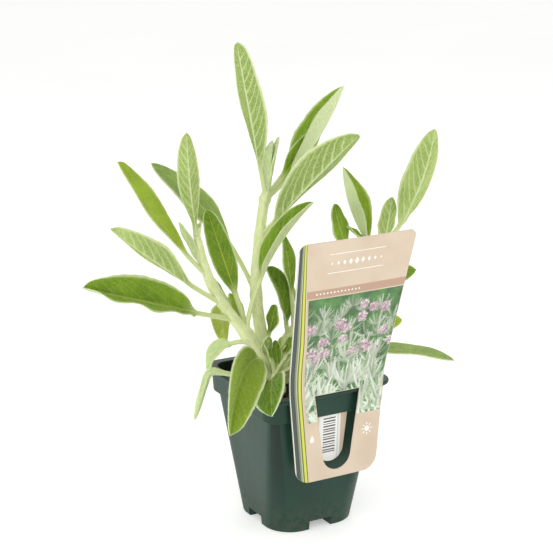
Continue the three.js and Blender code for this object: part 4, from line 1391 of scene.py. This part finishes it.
def makeTongue():
    form = labelForm
    tongue, height = form["tongue"], potForm["height"]
    path = tonguePath()
    along = unit(np.gradient(path, axis=0))
    fall = np.clip((height - path[:, 1]) / (height - tongue["bottom"]), 0, 1)
    full = tongue["topHalf"] + (tongue["lowHalf"] - tongue["topHalf"]) * fall
    half = roundedEnd(full, path[:, 1] - tongue["bottom"], tongue["round"])
    side = np.linspace(-1, 1, 25)[None, :]
    place = side * half[:, None]
    level = np.broadcast_to(path[:, 1][:, None], place.shape)

    def tongueFace(off):
        x = form["centre"] + place
        y = (path[:, 0] - along[:, 1] * off)[:, None] + 0 * x
        z = (path[:, 1] + along[:, 0] * off)[:, None] + 0 * x
        return np.stack([x, y, z], -1)

    keep = np.ones((len(path) - 1, side.shape[1] - 1), bool)
    deep = form["thickness"] * tongue["thickShare"] / 2
    solidSheet("labelTongue", tongueFace(-deep), tongueFace(deep), keep, makeTongueMaterial(),
               {"panelAcross": (place, place + 60), "panelLevel": (level, level)})


def makeTongueMaterial():  # a pale panel of meaningless bars
    look = printLook
    material, tree, shader, _, base = printedSheet("printedTongue")
    across, level = attribute(tree, "panelAcross"), attribute(tree, "panelLevel")
    base = blendColours(tree, between(tree, across, *look["panel"]), base, colour(look["panelInk"]))
    beat = calc(tree, "SINE", times(tree, level, look["barBeat"]))
    wide = calc(tree, "MULTIPLY_ADD", beat, *look["barWidth"])
    bars = calc(tree, "LESS_THAN", calc(tree, "PINGPONG", level, look["barPitch"]), wide)
    bars = times(tree, bars, between(tree, across, *look["bars"]))
    bars = times(tree, bars, between(tree, level, *look["barHeights"]))
    base = layOver(tree, base, bars, 0.95, look["barInk"])
    base = layOver(tree, base, between(tree, across, *look["line"]), 0.5, look["lineInk"])
    plug(tree, base, shader.inputs["Base Color"])
    return material


# The printed picture is a made-up border: tufts of arching straps under round flower heads.
pictureForm = {
    "top": 67.2, "bottom": -16.6, "pitch": 0.48, "fromStripes": 1.2, "fromRight": 0.5,
    "width": 64, "proud": 0.05, "sunk": 0.15,
    "backs": ("24452a", "55923f"), "leaves": ("708c66", "9fb590", "c3d1b4", "dae4ce", "eef4e6"),
    "heads": ("b894a2", "d2b6be", "eadfe0"), "headShade": "8d6f79", "stems": "b4c6a2",
    "tufts": 84, "straps": 11, "headCount": 20, "nearStraps": 26,
}


def paintStrap(canvas, grid, start, end, bulge, width, ink):
    steps = np.linspace(0, 1, 16)
    start, end = np.array(start), np.array(end)
    normal = np.array([-(end - start)[1], (end - start)[0]])
    line = start + (end - start) * steps[:, None] + normal * (bulge * 4 * steps * (1 - steps))[:, None]
    low, high = line.min(0) - width, line.max(0) + width
    inside = (grid[0] > low[0]) & (grid[0] < high[0]) & (grid[1] > low[1]) & (grid[1] < high[1])
    if not inside.any():
        return
    spots = np.stack([grid[0][inside], grid[1][inside]], 1)
    away = np.linalg.norm(spots[:, None] - line[None], axis=2)
    nearest = away.argmin(1)
    t = steps[nearest]
    wide = width * np.sin(np.pi * np.clip(0.12 + 0.88 * t, 0, 1)) ** 0.8
    cover = np.clip((wide - away.min(1)) / 0.22, 0, 1)[:, None]
    shade = (0.72 + 0.35 * t + 0.18 * np.exp(-(away.min(1) / (0.22 * width)) ** 2))[:, None]
    canvas[inside] = canvas[inside] * (1 - cover) + np.clip(ink * shade, 0, 1) * cover


def paintDot(canvas, grid, centre, radius, ink):
    away = np.hypot(grid[0] - centre[0], grid[1] - centre[1])
    inside = away < radius
    cover = np.clip((radius - away[inside]) / 0.25, 0, 1)[:, None]
    canvas[inside] = canvas[inside] * (1 - cover) + ink * cover


def paintHeads(canvas, grid, inks, stem):  # round flower heads of many small florets
    form = pictureForm
    shade = np.array(colour(form["headShade"])[:3])
    for i in range(form["headCount"]):
        x = -35 + 73 * ((i * 0.618) % 1) + random.uniform(-2, 2)
        y = random.uniform(22, 63)
        paintStrap(canvas, grid, (x + random.uniform(-3, 3), y - 34), (x, y), random.uniform(-0.05, 0.05),
                   0.5, stem)
        radius = random.uniform(2.8, 4.6)
        paintDot(canvas, grid, (x, y), radius * 0.92, shade)
        for _ in range(70):
            angle, reach = random.uniform(0, 2 * math.pi), radius * math.sqrt(random.random())
            spot = (x + reach * math.cos(angle), y + reach * math.sin(angle) * 0.95)
            light = 0.7 + 0.3 * (spot[1] - y + radius) / (2 * radius)
            paintDot(canvas, grid, spot, random.uniform(0.5, 0.8), inks[random.integers(0, 3)] * light)


def pictureInks(names):
    return [np.array(colour(name)[:3]) for name in names]


def paintPicture(grid):
    form = pictureForm
    backs, leaves, heads = [pictureInks(form[key]) for key in ("backs", "leaves", "heads")]
    stem = pictureInks([form["stems"]])[0]
    across, up = grid
    spots = zip(across.ravel(), up.ravel())
    cloud = np.array([noise.fractal(Vector((x * 0.12, u * 0.12, 5)), 1, 2, 3) for x, u in spots])
    mix = np.clip(0.5 + 0.6 * cloud.reshape(across.shape), 0, 1)[..., None]
    canvas = backs[0] * (1 - mix) + backs[1] * mix
    low, high = form["bottom"], form["top"]
    tufts, headsAfter = form["tufts"], int(form["tufts"] * 0.45)

    for row in range(tufts):  # far tufts first, near ones lower and larger
        depth = row / tufts
        if row == headsAfter:
            paintHeads(canvas, grid, heads, stem)
        level = low - 16 + (high - low + 8) * (1 - depth)
        base = (random.uniform(-38, 40), level + random.uniform(-4, 4))
        size = 9 + 10 * depth
        for _ in range(form["straps"]):
            lean = random.uniform(-1, 1)
            tall = size * (1.15 - 0.75 * abs(lean) ** 1.5) * random.uniform(0.8, 1.1)
            tip = (base[0] + lean * size * 0.95, base[1] + tall)
            tone = min(int(random.uniform(0, 3.6) + depth * 1.4), len(leaves) - 1)
            paintStrap(canvas, grid, base, tip, -0.16 * lean, 0.6 + 0.5 * depth,
                       leaves[tone] * (0.72 + 0.28 * depth))
    for _ in range(form["nearStraps"]):  # straps in front, the palest
        x = random.uniform(-36, 38)
        y = random.uniform(low - 8, low + 34)
        lean = random.uniform(-1, 1)
        tip = (x + lean * 13, y + random.uniform(12, 24))
        paintStrap(canvas, grid, (x, y), tip, -0.14 * lean, 0.95, leaves[4] * random.uniform(0.4, 0.9))
    return np.clip(canvas, 0, 1)


def makePictureMaterial():
    material, tree, shader = newMaterial("printedPicture", {"Specular IOR Level": 0.45})
    patches = mottle(tree, 160.0, 2400.0)
    base = layOver(tree, attribute(tree, "ink", "Color"), patches["Grain"], 0.08, "dfe8da")
    plugAll(tree, shader.inputs, {
        "Base Color": base, "Roughness": calc(tree, "MULTIPLY_ADD", patches["Patch"], 0.08, 0.26)})
    return material


def makePicture():
    form = pictureForm
    rows = int((form["top"] - form["bottom"]) / form["pitch"])
    columns = int(form["width"] / form["pitch"])
    up = np.linspace(form["bottom"], form["top"], rows)[:, None]
    left = -straightHalf(up) + stripesEnd(up) + form["fromStripes"]
    right = straightHalf(up) - form["fromRight"]
    across = left + (right - left) * np.linspace(0, 1, columns)[None, :]
    up = np.broadcast_to(up, across.shape)
    middle = (across[:-1, :-1] + across[1:, 1:]) / 2
    level = (up[:-1, :-1] + up[1:, 1:]) / 2
    keep = ~((np.abs(middle) < windowHalf(np.minimum(level, 0)) + 0.5) & (level < 0.5))
    thick = labelForm["thickness"]
    front, back = [cardPlace(across, up, out) for out in (thick + form["proud"], thick - form["sunk"])]
    picture = solidSheet("labelPicture", front, back, keep, makePictureMaterial(), {"up": (up, up)})
    inks = paintPicture((across, up))[usedCorners(keep)]
    inks = np.concatenate([inks, np.ones((len(inks), 1))], 1).astype(np.float32)
    layer = picture.data.attributes.new("ink", "FLOAT_COLOR", "POINT")
    layer.data.foreach_set("color", np.concatenate([inks, inks]).ravel())


marksForm = {
    "diamonds": {"height": 90, "gap": 4.2, "size": 2.3, "shrink": 0.33, "slim": 0.62},
    "lines": {"heights": (83.6, 96.0), "thickness": 0.4, "piece": 1.9},
    "dots": {"start": -24, "height": 70.6, "gap": 2.4, "radius": 0.55},
    "sun": {"centre": (21.5, -27.5), "radius": 1.7, "rays": (2.5, 4.0), "rayHalf": 0.28},
    "drop": {"centre": (-17.8, -27.5), "size": (1.9, 2.6), "rise": 0.4},
    "proud": 0.05, "sunk": 0.1, "inks": ("f6f1e8", "fffdf8"),
}


def disc(x, y, radius, sides):
    angles = [math.pi * i / (sides / 2) for i in range(sides)]
    return [(x + radius * math.cos(a), y + radius * math.sin(a)) for a in angles]


def markShapes():  # a line of diamonds between two rules, dots on the strip, a sun and a drop
    form = marksForm
    shapes = []
    diamonds, rules, dots, sun, drop = [form[key] for key in ("diamonds", "lines", "dots", "sun", "drop")]
    y = diamonds["height"]
    for i in range(-4, 5):
        size, x = diamonds["size"] - diamonds["shrink"] * abs(i), i * diamonds["gap"]
        wide = size * diamonds["slim"]
        shapes.append([(x + wide, y), (x, y + size), (x - wide, y), (x, y - size)])
    for i in range(-10, 10):
        start, end = i * rules["piece"], (i + 1) * rules["piece"]
        for low in rules["heights"]:
            high = low + rules["thickness"]
            shapes.append([(start, low), (end, low), (end, high), (start, high)])
    for i in range(13):
        shapes.append(disc(dots["start"] + i * dots["gap"], dots["height"], dots["radius"], 12))
    shapes.append(disc(*sun["centre"], sun["radius"], 20))
    centre, (near, far) = np.array(sun["centre"]), sun["rays"]
    for i in range(8):
        way = np.array([math.cos(math.pi / 4 * i), math.sin(math.pi / 4 * i)])
        aside = np.array([-way[1], way[0]]) * sun["rayHalf"]
        shapes.append([tuple(centre + way * reach + aside * hand)
                       for reach, hand in ((near, -1), (far, -1), (far, 1), (near, 1))])
    wide, tall = drop["size"]
    x, y = drop["centre"]
    angles = np.linspace(0.0, 2 * math.pi, 25)[:-1]
    shapes.append([(x + math.sin(a) * wide * math.sin(a / 2) ** 1.3,
                    y + (drop["rise"] + tall * math.cos(a))) for a in angles])
    return shapes


def makeMarks():
    form = marksForm
    points, faces = [], []
    thick = labelForm["thickness"]
    for shape in markShapes():
        start, count = len(points), len(shape)
        flat = np.array(shape)
        for out in (thick + form["proud"], thick - form["sunk"]):
            points += [tuple(p) for p in cardPlace(flat[:, 0], flat[:, 1], out)]
        faces.append(tuple(range(start, start + count)))
        faces.append(tuple(range(start + 2 * count - 1, start + count - 1, -1)))
        for k in range(count):
            a, b = start + k, start + (k + 1) % count
            faces.append((b, a, a + count, b + count))
    material, tree, shader = newMaterial("whiteInk", {"Roughness": 0.35})
    ink = toneBetween(tree, mottle(tree, 90.0, 2000.0)["Patch"], form["inks"])
    plug(tree, ink, shader.inputs["Base Color"])
    makePiece("labelMarks", points, faces, [material], smooth=False)


makeTongue()
makePicture()
makeMarks()
print("label print made")

stageLook = {"floor": ("f4f4f2", "fafaf8"), "glow": 0.42, "floorSize": 24.0}


def makeFloor():
    material, tree, shader = newMaterial("paleFloor", {"Roughness": 0.8,
                                                       "Emission Strength": stageLook["glow"]})
    tone = toneBetween(tree, noiseField(tree, objectPlace(tree), 3.0), stageLook["floor"])
    plugAll(tree, shader.inputs, {"Base Color": tone, "Emission Color": tone})
    mesh = bpy.data.meshes.new("floor")
    half = stageLook["floorSize"] / 2
    corners = [(-half, -half, 0), (half, -half, 0), (half, half, 0), (-half, half, 0)]
    mesh.from_pydata(corners, [], [(0, 1, 2, 3)])
    mesh.materials.append(material)
    newObject("floor", mesh)


skyLight = 0.62

lampLook = {  # place, aim, size and power of each softbox
    "keyLamp": ((-0.55, -1.0, 1.05), (0, 0, 0.15), (0.9, 0.9), 4.6),
    "leftLamp": ((-1.2, 0.0, 0.55), (0, 0, 0.12), (0.7, 1.0), 4.0),
    "backLamp": ((0.6, 1.0, 0.9), (0, 0, 0.18), (0.9, 0.7), 2.2),
    "rightLamp": ((0.95, -0.75, 0.3), (0, 0, 0.17), (0.8, 0.8), 2.6),
}


def aimAt(made, place, aim):
    made.location = place
    made.rotation_euler = (Vector(aim) - Vector(place)).to_track_quat("-Z", "Y").to_euler()


def makeLamps():
    for name, (place, aim, size, power) in lampLook.items():
        data = bpy.data.lights.new(name, "AREA")
        data.shape = "RECTANGLE"
        data.size, data.size_y = size
        data.energy = power
        aimAt(newObject(name, data), place, aim)
    world = bpy.data.worlds.new("studio")
    world.use_nodes = True
    plugAll(world.node_tree, world.node_tree.nodes["Background"].inputs,
            {"Color": (1, 1, 1, 1), "Strength": skyLight})
    bpy.context.scene.world = world


cameraLook = {"place": (-488.5, -828.1, 431.8), "aim": (-10.9, 6.3, 156.7), "lens": 105.38}


def makeCamera():
    data = bpy.data.cameras.new("camera")
    data.sensor_width = 36
    data.lens = cameraLook["lens"]
    data.clip_start = 0.01
    camera = newObject("camera", data)
    aimAt(camera, Vector(cameraLook["place"]) * mm, Vector(cameraLook["aim"]) * mm)
    bpy.context.scene.camera = camera


makeFloor()
makeLamps()
makeCamera()
bpy.context.scene.view_settings.view_transform = "Standard"
print("stage ready")
